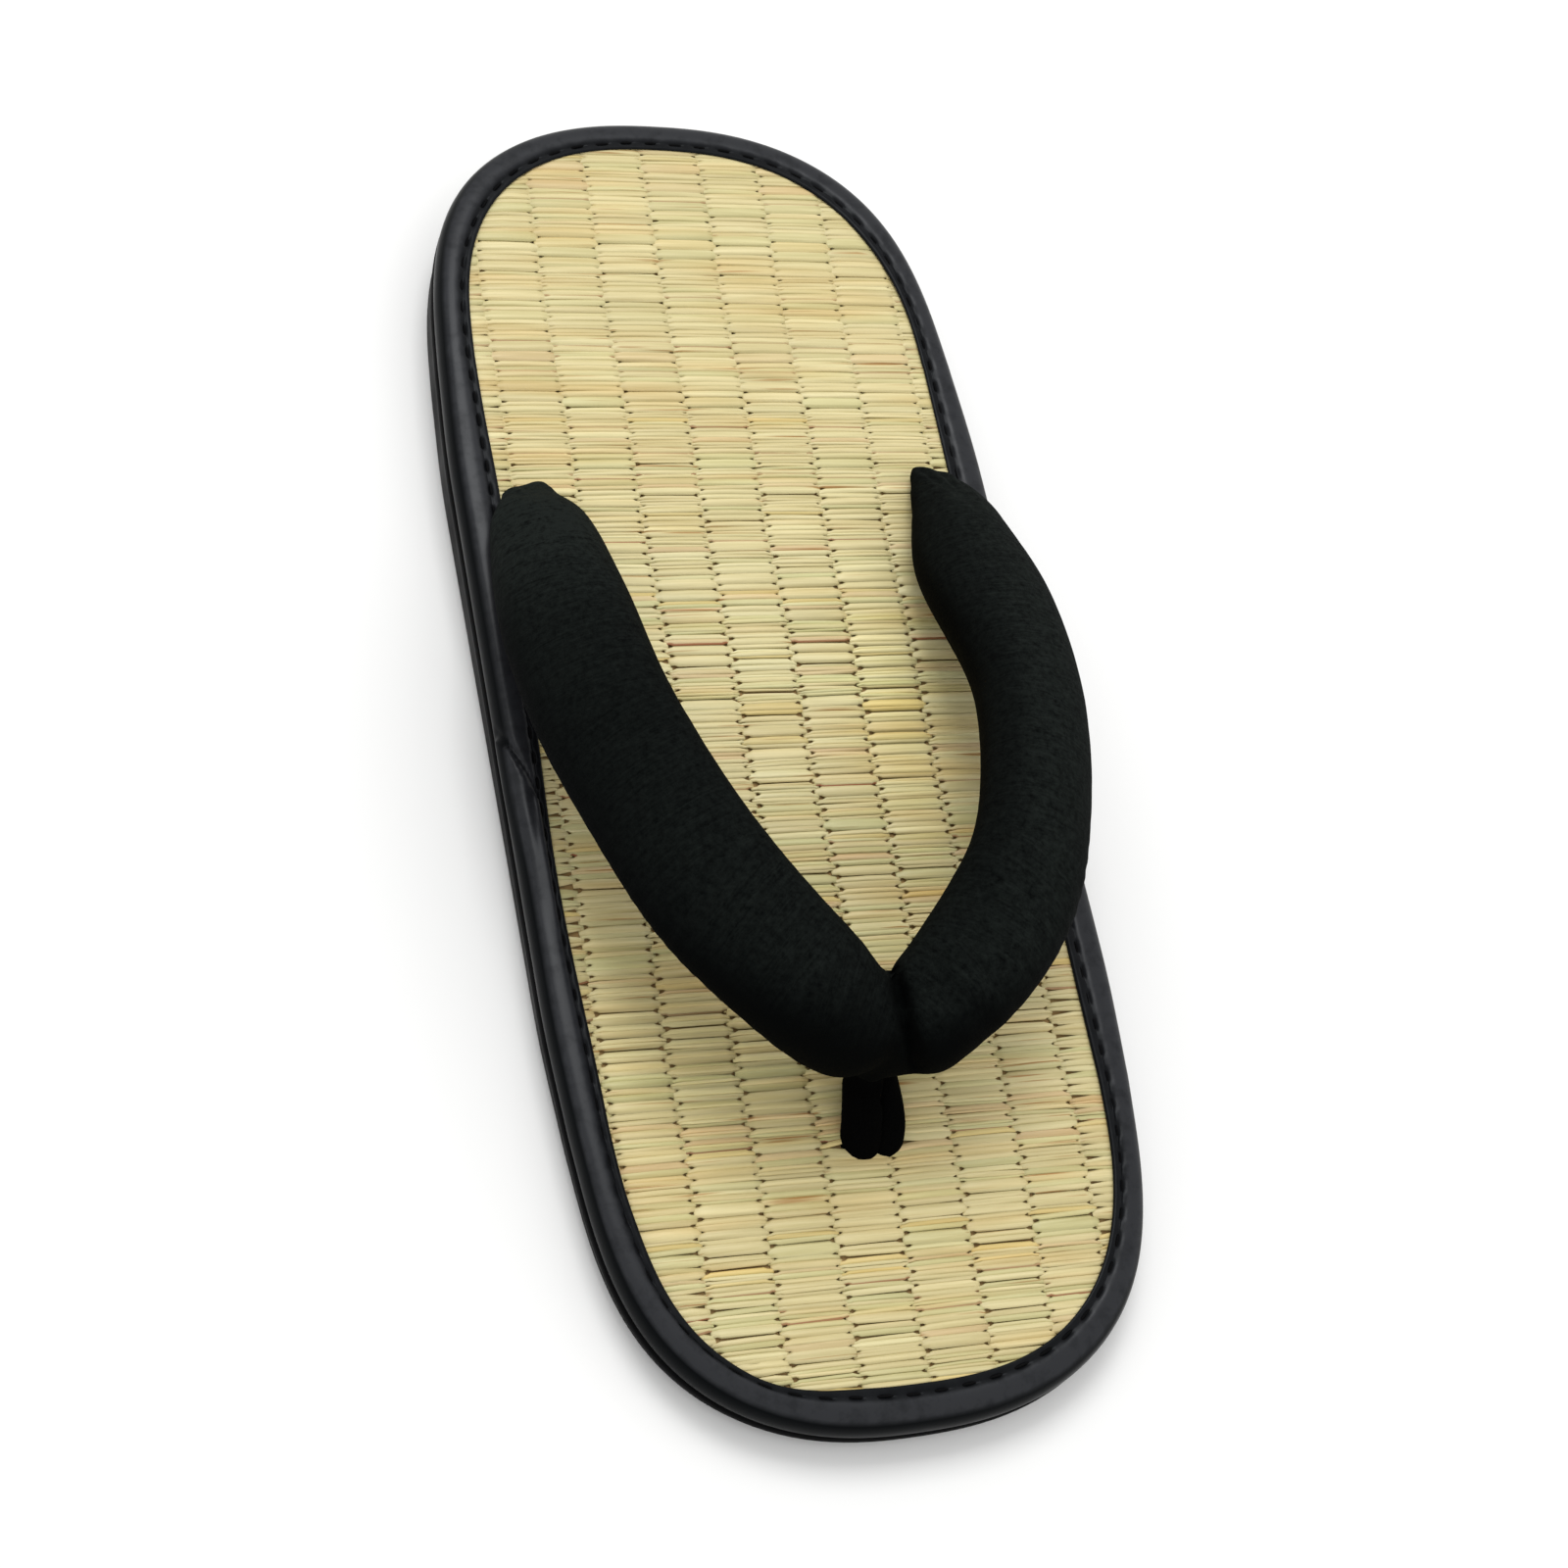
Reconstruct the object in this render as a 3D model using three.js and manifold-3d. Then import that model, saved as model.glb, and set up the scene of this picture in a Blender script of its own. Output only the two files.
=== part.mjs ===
// A zori, the flat thong sandal of Japan. A rush mat footbed, bound round its edge with vinyl tape, lies on
// a wedge of foam rubber. A padded cloth strap runs over it, and a velvet loop holds the strap down between
// the toes. Millimetres, +Z up, toe towards -Y and heel towards +Y. The origin is on the floor under the
// middle of the sole.
import * as THREE from "three";
import Module from "manifold-3d";

// Driving dimensions
const MAT_HALF_WIDTH = 45.3; // the rush that shows inside the binding, before its sides swell
const MAT_HALF_LENGTH = 125.9;
const END_LENGTH = 50; // each rounded end of the outline, toe and heel alike
const END_POWER = 2.5; // 2 would make the ends elliptic, more makes them squarer
const BELLY = { share: 0.028, from: 40, to: 85 }; // the long sides swell, fully to one |y| and on to the other
const BALL = { share: 0.02, y: -36, reach: 30 }; // and a little more at the ball of the foot
const HEEL_HEIGHT = 15.5; // from the floor to the top of the mat
const TOE_HEIGHT = 9;
const FOOTBED_DEPTH = 5;
const TOE_SPRING = 1; // how far the outsole's toe lifts off the floor
const SPRING_LENGTH = 40;
const GAP = 0.3; // between pieces that touch
const REST_GAP = 0.4; // between the strap and what it lies on
const STRAP_HOLE = { x: 40.2, y: 45, radius: 2.8 };
const TAIL = { radius: 2.4, top: 3 };

// Fineness of the meshes
const END_STEPS = 14; // along a quarter of the outline's rounded ends
const SIDE_STEPS = 10; // along its long side
const ARM_STEPS = 30;
const ARM_SIDES = 20;
const LOOP_STEPS = 40;
const LOOP_SIDES = 12;

// The edge of each layer as seen in a cut across the sole. "out" is measured outwards from the edge of the
// rush that shows, and "up" from the top of the mat.
const FOOTBED_EDGE = [
  { out: 3.6, up: 0 },
  { out: 4.6, up: -0.15 },
  { out: 5.3, up: -0.9 },
  { out: 5.5, up: -2.2 },
  { out: 5.2, up: -3.3 },
  { out: 4.2, up: -3.9 },
  { out: 1.6, up: -3.9 },
  { out: 1.4, up: -FOOTBED_DEPTH },
];
// The tape goes round as one closed section: over the top, down the roll, under, and back along the footbed.
const BINDING_SECTION = [
  { out: -0.2, up: 0.3 },
  { out: -0.2, up: 0.85 },
  { out: 0.6, up: 1.15 },
  { out: 2.2, up: 1.3 },
  { out: 4.0, up: 1.2 },
  { out: 5.6, up: 0.5 },
  { out: 6.6, up: -0.7 },
  { out: 7.0, up: -2.2 },
  { out: 6.8, up: -3.6 },
  { out: 6.2, up: -4.8 },
  { out: 5.4, up: -FOOTBED_DEPTH },
  { out: 2.2, up: -FOOTBED_DEPTH },
  { out: 2.1, up: -4.25 },
  { out: 4.35, up: -4.2 },
  { out: 5.45, up: -3.5 },
  { out: 5.85, up: -2.2 },
  { out: 5.6, up: -0.75 },
  { out: 4.75, up: 0.15 },
  { out: 3.6, up: 0.3 },
];
// The outsole's edge: "share" runs from 0 at the floor to 1 at its top face, and "lift" is added to that.
const OUTSOLE_EDGE = [
  { out: 6.0, share: 1, lift: 0 },
  { out: 6.6, share: 1, lift: -0.1 },
  { out: 6.85, share: 1, lift: -0.5 },
  { out: 6.5, share: 0.5, lift: 0 },
  { out: 6.1, share: 0, lift: 0.9 },
  { out: 5.6, share: 0, lift: 0.3 },
  { out: 4.8, share: 0, lift: 0 },
];
const BINDING_TOP = 1.3;
const BINDING_FOOT = -1; // from here outwards the strap lies on the binding

// Sections of one strap arm from its folded rear end to the joint at the front. x, y and up place the middle
// of each section, with up from the top of the mat. wide and thick are half sizes, and roll turns the wide
// side down towards the outside of the foot, in degrees.
const STRAP_ARM = [
  { x: 41.2, y: 49.4, up: 2.0, wide: 4.4, thick: 1.5, roll: 0 },
  { x: 40.8, y: 46.8, up: 3.2, wide: 5.5, thick: 2.8, roll: 0 },
  { x: 40.7, y: 42.5, up: 4.6, wide: 6.9, thick: 4.5, roll: 0 },
  { x: 40.8, y: 37.5, up: 6.0, wide: 8.3, thick: 6.2, roll: 2 },
  { x: 40.6, y: 29.4, up: 8.0, wide: 9.9, thick: 8.4, roll: 13 },
  { x: 41.1, y: 12.0, up: 14.4, wide: 11.7, thick: 9.2, roll: 24 },
  { x: 38.8, y: -13.5, up: 21.8, wide: 12.2, thick: 8.6, roll: 36 },
  { x: 28.2, y: -44.8, up: 26.4, wide: 11.9, thick: 8.8, roll: 40 },
  { x: 13.2, y: -63.0, up: 23.0, wide: 10.7, thick: 10.2, roll: 16 },
  { x: 5.4, y: -68.0, up: 18.4, wide: 9.6, thick: 9.1, roll: 0 },
];
const ARM_CAP = { steps: 4, length: 0.75 }; // the arm's blunt front end, its length in half widths
const ARM_UPRIGHT = new THREE.Vector3(0, 0.3, 1); // never along an arm's path

// Sections of the toe loop, from the hole up the front of the strap's joint, over it and down behind.
const TOE_LOOP = [
  { x: -2.3, y: -84.0, up: -4.6, wide: 2.8, thick: 3.0, roll: 0 },
  { x: -2.3, y: -83.4, up: 0.5, wide: 2.85, thick: 3.0, roll: 0 },
  { x: -2.4, y: -79.0, up: 5.0, wide: 2.85, thick: 2.9, roll: 0 },
  { x: -2.5, y: -74.5, up: 8.6, wide: 2.7, thick: 2.3, roll: 0 },
  { x: -1.2, y: -73.6, up: 14.0, wide: 2.3, thick: 1.5, roll: 0 },
  { x: -0.4, y: -72.6, up: 20.0, wide: 2.1, thick: 1.3, roll: 0 },
  { x: 0, y: -67.5, up: 23.4, wide: 2.1, thick: 1.2, roll: 0 },
  { x: 0.4, y: -61.8, up: 20.4, wide: 2.1, thick: 1.3, roll: 0 },
  { x: 1.2, y: -61.6, up: 14.0, wide: 2.3, thick: 1.5, roll: 0 },
  { x: 2.9, y: -66.5, up: 8.4, wide: 2.7, thick: 2.3, roll: 0 },
  { x: 3.5, y: -75.5, up: 4.2, wide: 2.85, thick: 2.8, roll: 0 },
  { x: 3.7, y: -82.8, up: 0.5, wide: 2.85, thick: 3.0, roll: 0 },
  { x: 3.7, y: -84.0, up: -4.6, wide: 2.8, thick: 3.0, roll: 0 },
];

const wasm = await Module();
wasm.setup();

// Height of the mat's top over the floor: it slopes evenly from heel to toe.
function matTop(y) {
  return THREE.MathUtils.mapLinear(y, -MAT_HALF_LENGTH, MAT_HALF_LENGTH, TOE_HEIGHT, HEEL_HEIGHT);
}

// Height of the outsole's underside: flat on the floor, and rising in a soft curve at the toe.
function underside(y) {
  const along = Math.max(0, SPRING_LENGTH - MAT_HALF_LENGTH - y) / SPRING_LENGTH;
  return TOE_SPRING * along ** 2;
}

// How many times wider the swelling makes the sole at y.
function widening(y) {
  const belly = 1 - THREE.MathUtils.smoothstep(Math.abs(y), BELLY.from, BELLY.to);
  const ball = Math.exp(-(((y - BALL.y) / BALL.reach) ** 2));
  return 1 + BELLY.share * belly + BALL.share * ball;
}

// Points of the mat's outline with their outward normals, anticlockwise from the middle of the right side.
function matOutline() {
  const reach = MAT_HALF_LENGTH - END_LENGTH;
  const quarter = [];
  for (let i = 0; i <= END_STEPS; i++) {
    const angle = (i / END_STEPS) * (Math.PI / 2);
    const across = Math.cos(angle) ** (2 / END_POWER);
    const along = Math.sin(angle) ** (2 / END_POWER);
    const normal = new THREE.Vector2(
      across ** (END_POWER - 1) / MAT_HALF_WIDTH,
      along ** (END_POWER - 1) / END_LENGTH,
    ).normalize();
    const point = new THREE.Vector2(MAT_HALF_WIDTH * across, reach + END_LENGTH * along);
    quarter.push({ point, normal });
  }
  const side = [];
  for (let i = 1; i < SIDE_STEPS; i++) {
    const y = THREE.MathUtils.lerp(-reach, reach, i / SIDE_STEPS);
    side.push({ point: new THREE.Vector2(MAT_HALF_WIDTH, y), normal: new THREE.Vector2(1, 0) });
  }
  const mirrored = (row, sx, sy) => {
    const sign = new THREE.Vector2(sx, sy);
    return row.map(({ point, normal }) => ({
      point: point.clone().multiply(sign),
      normal: normal.clone().multiply(sign),
    }));
  };
  const heelRight = quarter;
  const heelLeft = mirrored(quarter, -1, 1).reverse().slice(1);
  const left = mirrored(side, -1, 1).reverse();
  const toeLeft = mirrored(quarter, -1, -1);
  const toeRight = mirrored(quarter, 1, -1).reverse().slice(1);
  const outline = [...heelRight, ...heelLeft, ...left, ...toeLeft, ...toeRight, ...side];
  outline.forEach(({ point }) => point.setX(point.x * widening(point.y)));
  return outline;
}
const OUTLINE = matOutline();

// One closed ring round the sole, "out" from the mat's edge, at the height that heightAt gives for its y.
function soleRing(out, heightAt) {
  return OUTLINE.map(({ point, normal }) => {
    const x = point.x + normal.x * out;
    const y = point.y + normal.y * out;
    return new THREE.Vector3(x, y, heightAt(y));
  });
}

// Volume inside a closed triangle mesh, negative where its faces point inwards.
function signedVolume(points, faces) {
  return faces.reduce((sum, [a, b, c]) => {
    return sum + points[a].dot(new THREE.Vector3().crossVectors(points[b], points[c])) / 6;
  }, 0);
}

// Closed skin through rings of equally many points. Joined rings make a hoop, others get a fan at each end.
function skin(rings, joined = false) {
  const count = rings[0].length;
  const points = rings.flat();
  const faces = [];
  const spans = joined ? rings.length : rings.length - 1;
  for (let r = 0; r < spans; r++) {
    const here = r * count;
    const next = ((r + 1) % rings.length) * count;
    for (let i = 0; i < count; i++) {
      const j = (i + 1) % count;
      faces.push([here + i, here + j, next + j], [here + i, next + j, next + i]);
    }
  }
  if (!joined) {
    for (const [start, flip] of [[0, true], [(rings.length - 1) * count, false]]) {
      const ring = points.slice(start, start + count);
      const middle = ring.reduce((sum, p) => sum.add(p), new THREE.Vector3()).divideScalar(count);
      const hub = points.push(middle) - 1;
      for (let i = 0; i < count; i++) {
        const j = (i + 1) % count;
        faces.push(flip ? [hub, start + j, start + i] : [hub, start + i, start + j]);
      }
    }
  }
  const turned = signedVolume(points, faces) < 0 ? faces.map(([a, b, c]) => [a, c, b]) : faces;
  const geometry = new THREE.BufferGeometry().setFromPoints(points);
  geometry.setIndex(turned.flat());
  return geometry;
}

function toSolid(geometry) {
  const vertProperties = new Float32Array(geometry.getAttribute("position").array);
  const triVerts = new Uint32Array(geometry.index.array);
  return new wasm.Manifold(new wasm.Mesh({ numProp: 3, vertProperties, triVerts }));
}

function toGeometry(solid) {
  const { vertProperties, triVerts } = solid.getMesh();
  const geometry = new THREE.BufferGeometry();
  geometry.setAttribute("position", new THREE.BufferAttribute(vertProperties, 3));
  geometry.setIndex(new THREE.BufferAttribute(triVerts, 1));
  return geometry;
}

// Upright round bar between two heights.
function bar(x, y, radius, low, high) {
  const circle = (height) => {
    const ring = [];
    for (let i = 0; i < LOOP_SIDES; i++) {
      const angle = (i / LOOP_SIDES) * 2 * Math.PI;
      ring.push(new THREE.Vector3(x + radius * Math.cos(angle), y + radius * Math.sin(angle), height));
    }
    return ring;
  };
  return skin([circle(low), circle(high)]);
}

// The wide axis of an arm's section before its roll: square to the path and pointing out from the foot.
function outwards(tangent) {
  return new THREE.Vector3().crossVectors(ARM_UPRIGHT, tangent).normalize();
}

// The wide axis of the toe loop's section: square to the path and as close to +X as that allows.
function sideways(tangent) {
  return new THREE.Vector3(1, 0, 0).addScaledVector(tangent, -tangent.x).normalize();
}

// Sections along a smooth path through the rows of a table: the middle of each, its own axes and its half
// sizes. "wideAxis" gives each section's wide axis before its roll, and "grow" swells them all.
function sectionsAlong(rows, steps, wideAxis, grow = 0) {
  const path = new THREE.CatmullRomCurve3(
    rows.map(({ x, y, up }) => new THREE.Vector3(x, y, matTop(y) + up)),
  );
  const sizes = new THREE.CatmullRomCurve3(
    rows.map(({ wide, thick, roll }) => new THREE.Vector3(wide + grow, thick + grow, roll)),
    false,
    "catmullrom",
  );
  const sections = [];
  for (let i = 0; i <= steps; i++) {
    const share = path.getUtoTmapping(i / steps);
    const middle = path.getPoint(share);
    const tangent = path.getTangent(share);
    const { x: wide, y: thick, z: roll } = sizes.getPoint(share);
    const across = wideAxis(tangent).applyAxisAngle(tangent, -THREE.MathUtils.degToRad(roll));
    const upright = new THREE.Vector3().crossVectors(tangent, across);
    sections.push({ middle, tangent, across, upright, wide, thick });
  }
  return sections;
}

function ellipseRing({ middle, across, upright, wide, thick }, sides) {
  const ring = [];
  for (let i = 0; i < sides; i++) {
    const angle = (i / sides) * 2 * Math.PI;
    const point = middle.clone();
    point.addScaledVector(across, wide * Math.cos(angle));
    point.addScaledVector(upright, thick * Math.sin(angle));
    ring.push(point);
  }
  return ring;
}

// Lifts a point of the strap that would sink into the mat or the binding.
function layOnDeck(point) {
  const out = point.x - MAT_HALF_WIDTH * widening(point.y);
  const rise = THREE.MathUtils.smoothstep(out, 2 * BINDING_FOOT, BINDING_FOOT) * BINDING_TOP;
  point.z = Math.max(point.z, matTop(point.y) + rise + REST_GAP);
  return point;
}

function strapArm() {
  const sections = sectionsAlong(STRAP_ARM, ARM_STEPS, outwards);
  const last = sections[sections.length - 1];
  for (let i = 1; i <= ARM_CAP.steps; i++) {
    const angle = (i / (ARM_CAP.steps + 1)) * (Math.PI / 2);
    const middle = last.middle.clone();
    middle.addScaledVector(last.tangent, last.wide * ARM_CAP.length * Math.sin(angle));
    const wide = last.wide * Math.cos(angle);
    const thick = last.thick * Math.cos(angle);
    sections.push({ ...last, middle, wide, thick });
  }
  const rings = sections.map((section) => ellipseRing(section, ARM_SIDES).map(layOnDeck));
  const { x, y } = STRAP_HOLE;
  const low = matTop(y) - FOOTBED_DEPTH + REST_GAP;
  const tail = bar(x, y, TAIL.radius, low, matTop(y) + TAIL.top);
  return toSolid(skin(rings)).add(toSolid(tail));
}

function toeLoop(grow) {
  const sections = sectionsAlong(TOE_LOOP, LOOP_STEPS, sideways, grow);
  return toSolid(skin(sections.map((section) => ellipseRing(section, LOOP_SIDES))));
}

function strap() {
  const right = strapArm();
  const left = right.mirror([1, 0, 0]);
  return right.add(left).subtract(toeLoop(GAP));
}

function outsole() {
  const top = (y) => matTop(y) - FOOTBED_DEPTH - GAP;
  const rings = OUTSOLE_EDGE.map(({ out, share, lift }) => {
    return soleRing(out, (y) => THREE.MathUtils.lerp(underside(y), top(y), share) + lift);
  });
  return skin(rings);
}

function rushFootbed() {
  const rings = FOOTBED_EDGE.map(({ out, up }) => soleRing(out, (y) => matTop(y) + up));
  const { x, y, radius } = STRAP_HOLE;
  const hole = toSolid(bar(x, y, radius, 0, HEEL_HEIGHT + TOE_HEIGHT));
  return toSolid(skin(rings)).subtract(hole).subtract(hole.mirror([1, 0, 0])).subtract(toeLoop(GAP));
}

function edgeBinding() {
  const rings = BINDING_SECTION.map(({ out, up }) => soleRing(out, (y) => matTop(y) + up));
  return skin(rings, true);
}

const FINISHES = {
  foam_rubber: { color: 0x16171a, roughness: 0.7, metalness: 0 },
  rush: { color: 0xcdbb7c, roughness: 0.6, metalness: 0 },
  vinyl: { color: 0x2a2c30, roughness: 0.38, metalness: 0 },
  cloth: { color: 0x101112, roughness: 0.95, metalness: 0 },
  velvet: { color: 0x060606, roughness: 1, metalness: 0 },
};

function named(name, geometry, finish) {
  const mesh = new THREE.Mesh(geometry, new THREE.MeshStandardMaterial(FINISHES[finish]));
  mesh.name = name;
  return mesh;
}

const zori = new THREE.Group();
zori.name = "zori_sandal";
zori.add(
  named("outsole", outsole(), "foam_rubber"),
  named("rush_footbed", toGeometry(rushFootbed()), "rush"),
  named("edge_binding", edgeBinding(), "vinyl"),
  named("strap", toGeometry(strap()), "cloth"),
  named("toe_loop", toGeometry(toeLoop(0)), "velvet"),
);

export default zori;
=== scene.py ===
# %% [markdown]
# # Dressing a zori
# A zori is a flat thong sandal: a rush mat with a bound edge on a rubber wedge, a padded strap, and a loop
# between the toes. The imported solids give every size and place. This lesson puts the looks on them, one
# piece at a time: the woven rush, the sewn tape, the stuffed cloth, the velvet and the rubber.

# %% Load the frame
import math

import bmesh
import bpy
import numpy as np
from mathutils import Matrix, Vector
from mathutils.kdtree import KDTree


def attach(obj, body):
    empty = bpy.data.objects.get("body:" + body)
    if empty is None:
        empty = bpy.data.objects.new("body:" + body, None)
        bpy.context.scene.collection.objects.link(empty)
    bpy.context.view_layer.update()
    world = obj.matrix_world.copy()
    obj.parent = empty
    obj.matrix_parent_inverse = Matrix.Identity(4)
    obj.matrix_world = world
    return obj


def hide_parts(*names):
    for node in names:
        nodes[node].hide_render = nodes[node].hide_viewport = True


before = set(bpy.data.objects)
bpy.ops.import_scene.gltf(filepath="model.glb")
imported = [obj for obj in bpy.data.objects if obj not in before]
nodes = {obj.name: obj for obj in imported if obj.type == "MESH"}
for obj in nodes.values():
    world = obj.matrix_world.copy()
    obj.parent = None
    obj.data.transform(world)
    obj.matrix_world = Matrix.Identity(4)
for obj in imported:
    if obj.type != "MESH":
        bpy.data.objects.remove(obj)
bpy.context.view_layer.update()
MM = 0.001

# %% [markdown]
# ## The camera
# The picture looks down on the sandal from in front of its toe, to its left, with the camera rolled so that
# the sandal stands almost upright in the frame. A camera could be aimed with a constraint, but a place, a
# point to look at and a roll angle say the same and stay readable.

# %% Camera
CAMERA_PLACE = Vector((-190.3, -248.5, 471.9)) * MM
CAMERA_AIM = Vector((-3.2, -16.6, 16.0)) * MM
CAMERA_ROLL = math.radians(31.6)
LENS = 70
SENSOR_WIDTH = 36
NEAREST_SEEN = 10 * MM

look = (CAMERA_AIM - CAMERA_PLACE).to_track_quat("-Z", "Y").to_matrix()
look = look @ Matrix.Rotation(CAMERA_ROLL, 3, "Z")
bpy.ops.object.camera_add(location=CAMERA_PLACE, rotation=look.to_euler())
camera = bpy.context.object
camera.data.lens = LENS
camera.data.sensor_width = SENSOR_WIDTH
camera.data.clip_start = NEAREST_SEEN
bpy.context.scene.camera = camera
print("camera looks from", round((CAMERA_AIM - CAMERA_PLACE).length / MM), "mm")

# %% [markdown]
# ## Materials in short
# Every finish is a Principled shader fed by a few texture nodes. Small helpers keep that readable: they
# fill a node's inputs, add a node, mix two tones and start a material. Colours are written as seen on a
# screen, from 0 to 255, and turned into the linear values that Blender works with.

# %% Helpers for materials


def screen(red, green, blue):
    """A colour as seen on a screen, turned into linear values with an alpha of 1."""
    shares = [value / 255 for value in (red, green, blue)]
    linear = [s / 12.92 if s <= 0.04045 else ((s + 0.055) / 1.055) ** 2.4 for s in shares]
    return (*linear, 1.0)


def feed(tree, node, values):
    """Fills inputs of a node, by name or number: a socket is linked, and any other value is set."""
    for name, value in values.items():
        if isinstance(value, bpy.types.NodeSocket):
            tree.links.new(value, node.inputs[name])
        else:
            node.inputs[name].default_value = value


def add_node(tree, kind, values=None, **settings):
    """Adds a node. Settings are its properties, and values fill its inputs."""
    node = tree.nodes.new("ShaderNode" + kind)
    for name, value in settings.items():
        setattr(node, name, value)
    feed(tree, node, values or {})
    return node


def two_tones(tree, share, first, second):
    """A colour that goes from the first to the second as the share goes from 0 to 1."""
    mix = add_node(tree, "Mix", {"Factor": share, "A": first, "B": second}, data_type="RGBA")
    return mix.outputs["Result"]


def new_material(name, values):
    """Starts a material and returns it with its node tree and its Principled shader."""
    material = bpy.data.materials.new(name)
    material.use_nodes = True
    tree = material.node_tree
    shader = tree.nodes["Principled BSDF"]
    feed(tree, shader, values)
    return material, tree, shader


def wear(piece, material):
    """Gives a piece this one material."""
    piece.data.materials.clear()
    piece.data.materials.append(material)


# %% [markdown]
# ## The stage
# A pale floor and soft light from above leave a soft shadow on the mat under the strap. Most of the light
# comes from a white world. One area light stands above and behind the heel. It is large, so that the satin
# tape shows a broad, blurred highlight and no hard spot.

# %% Floor and light
FLOOR_SIZE = 6.0
KEY_PLACE = Vector((-0.05, 0.5, 1.0))
KEY_SIZE = 0.5
KEY_WATTS = 5.0
WORLD_STRENGTH = 0.9

bpy.ops.object.select_all(action="DESELECT")
bpy.ops.mesh.primitive_plane_add(size=FLOOR_SIZE)
floor = bpy.context.object
floor.name = "floor"
paper, _, _ = new_material("pale_floor", {"Base Color": screen(245, 245, 244), "Roughness": 0.9})
wear(floor, paper)
key_turn = (CAMERA_AIM - KEY_PLACE).to_track_quat("-Z", "Y").to_euler()
bpy.ops.object.light_add(type="AREA", location=KEY_PLACE, rotation=key_turn)
lamp = bpy.context.object
lamp.name = "key"
lamp.data.size = KEY_SIZE
lamp.data.energy = KEY_WATTS
world = bpy.data.worlds.new("studio")
world.use_nodes = True
backdrop = world.node_tree.nodes["Background"]
feed(world.node_tree, backdrop, {"Color": (1, 1, 1, 1), "Strength": WORLD_STRENGTH})
bpy.context.scene.world = world
bpy.context.scene.view_settings.view_transform = "Standard"
print("one lamp of", KEY_WATTS, "watts and a world of strength", WORLD_STRENGTH)

# %% [markdown]
# ## Soft steps and hills
# Most forms of a sandal change softly from one place to another, or rise softly round one place. Two small
# functions do that everywhere below: a step over a span, and a hill. Both take one number or a whole array.

# %% Soft steps and hills


def smoothstep(span, value):
    """Goes softly from 0 to 1 as the value goes from the first end of a span to the second."""
    low, high = span
    share = np.clip((value - low) / (high - low), 0, 1)
    return share * share * (3 - 2 * share)


def hill(value, middle, reach):
    """A soft hill: 1 at the middle, and nearly 0 at twice the reach from it."""
    return np.exp(-(((value - middle) / reach) ** 2))


# %% [markdown]
# ## The sole's outline
# Mat, tape and outsole share one outline: straight sides with rounded ends, each end half of a squarish
# ellipse. The sides swell a little, most at the ball of the foot, and the toe is bent slightly to one side.
# The mat slopes evenly from heel to toe. All layers below are rings at some distance out from this outline,
# so one function gives points that are evenly spaced along it, with their outward directions.

# %% Outline of the mat
MAT_HALF_WIDTH = 45.3 * MM
MAT_HALF_LENGTH = 125.9 * MM
END_LENGTH = 50 * MM
END_POWER = 2.5
HEEL_HEIGHT = 15.5 * MM
TOE_HEIGHT = 9 * MM
STRAIGHT_END = MAT_HALF_LENGTH - END_LENGTH
MAT_SLOPE = (HEEL_HEIGHT - TOE_HEIGHT) / (2 * MAT_HALF_LENGTH)
MAT_MIDDLE = (HEEL_HEIGHT + TOE_HEIGHT) / 2
FINE_STEPS = 1500
BELLY = {"share": 0.028, "span": (40 * MM, 85 * MM)}
BALL = {"share": 0.02, "y": -36 * MM, "reach": 30 * MM}
BEND = {"most": 0.5 * MM, "span": (-10 * MM, -60 * MM)}
LEFT_LONGER = 0.2  # the share by which the sole is longer for each metre to the left
FLARE = {"middle": -0.25 * MM, "swing": 0.75 * MM, "from": 50 * MM, "length": 80 * MM, "full_out": 6 * MM}


def mat_top(y):
    return MAT_MIDDLE + MAT_SLOPE * y


def belly(y):
    """The share by which the swollen outline is wider at y than one with straight sides."""
    middle = BELLY["share"] * (1 - smoothstep(BELLY["span"], np.abs(y)))
    return 1 + middle + BALL["share"] * hill(y, BALL["y"], BALL["reach"])


def bend(y):
    """How far the sole is bent to one side at y, towards its toe."""
    return BEND["most"] * smoothstep(BEND["span"], y)


def flare(y, out):
    """How much wider a layer so far out is at y: the tape is fuller along the sides than at the shoulders."""
    past = np.maximum(np.abs(y) - FLARE["from"], 0)
    swell = FLARE["middle"] + FLARE["swing"] * np.cos(2 * np.pi * past / FLARE["length"])
    return swell * np.clip(out / FLARE["full_out"], 0, 1)


def half_width_at(y, grow=0.0):
    """Half the width at each y of the mat, or of an outline so far out from it, and 0 past its ends."""
    past = np.clip((np.abs(y) - STRAIGHT_END) / (END_LENGTH + grow), 0, 1)
    return (MAT_HALF_WIDTH + grow) * (1 - past**END_POWER) ** (1 / END_POWER) * belly(y)


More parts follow.
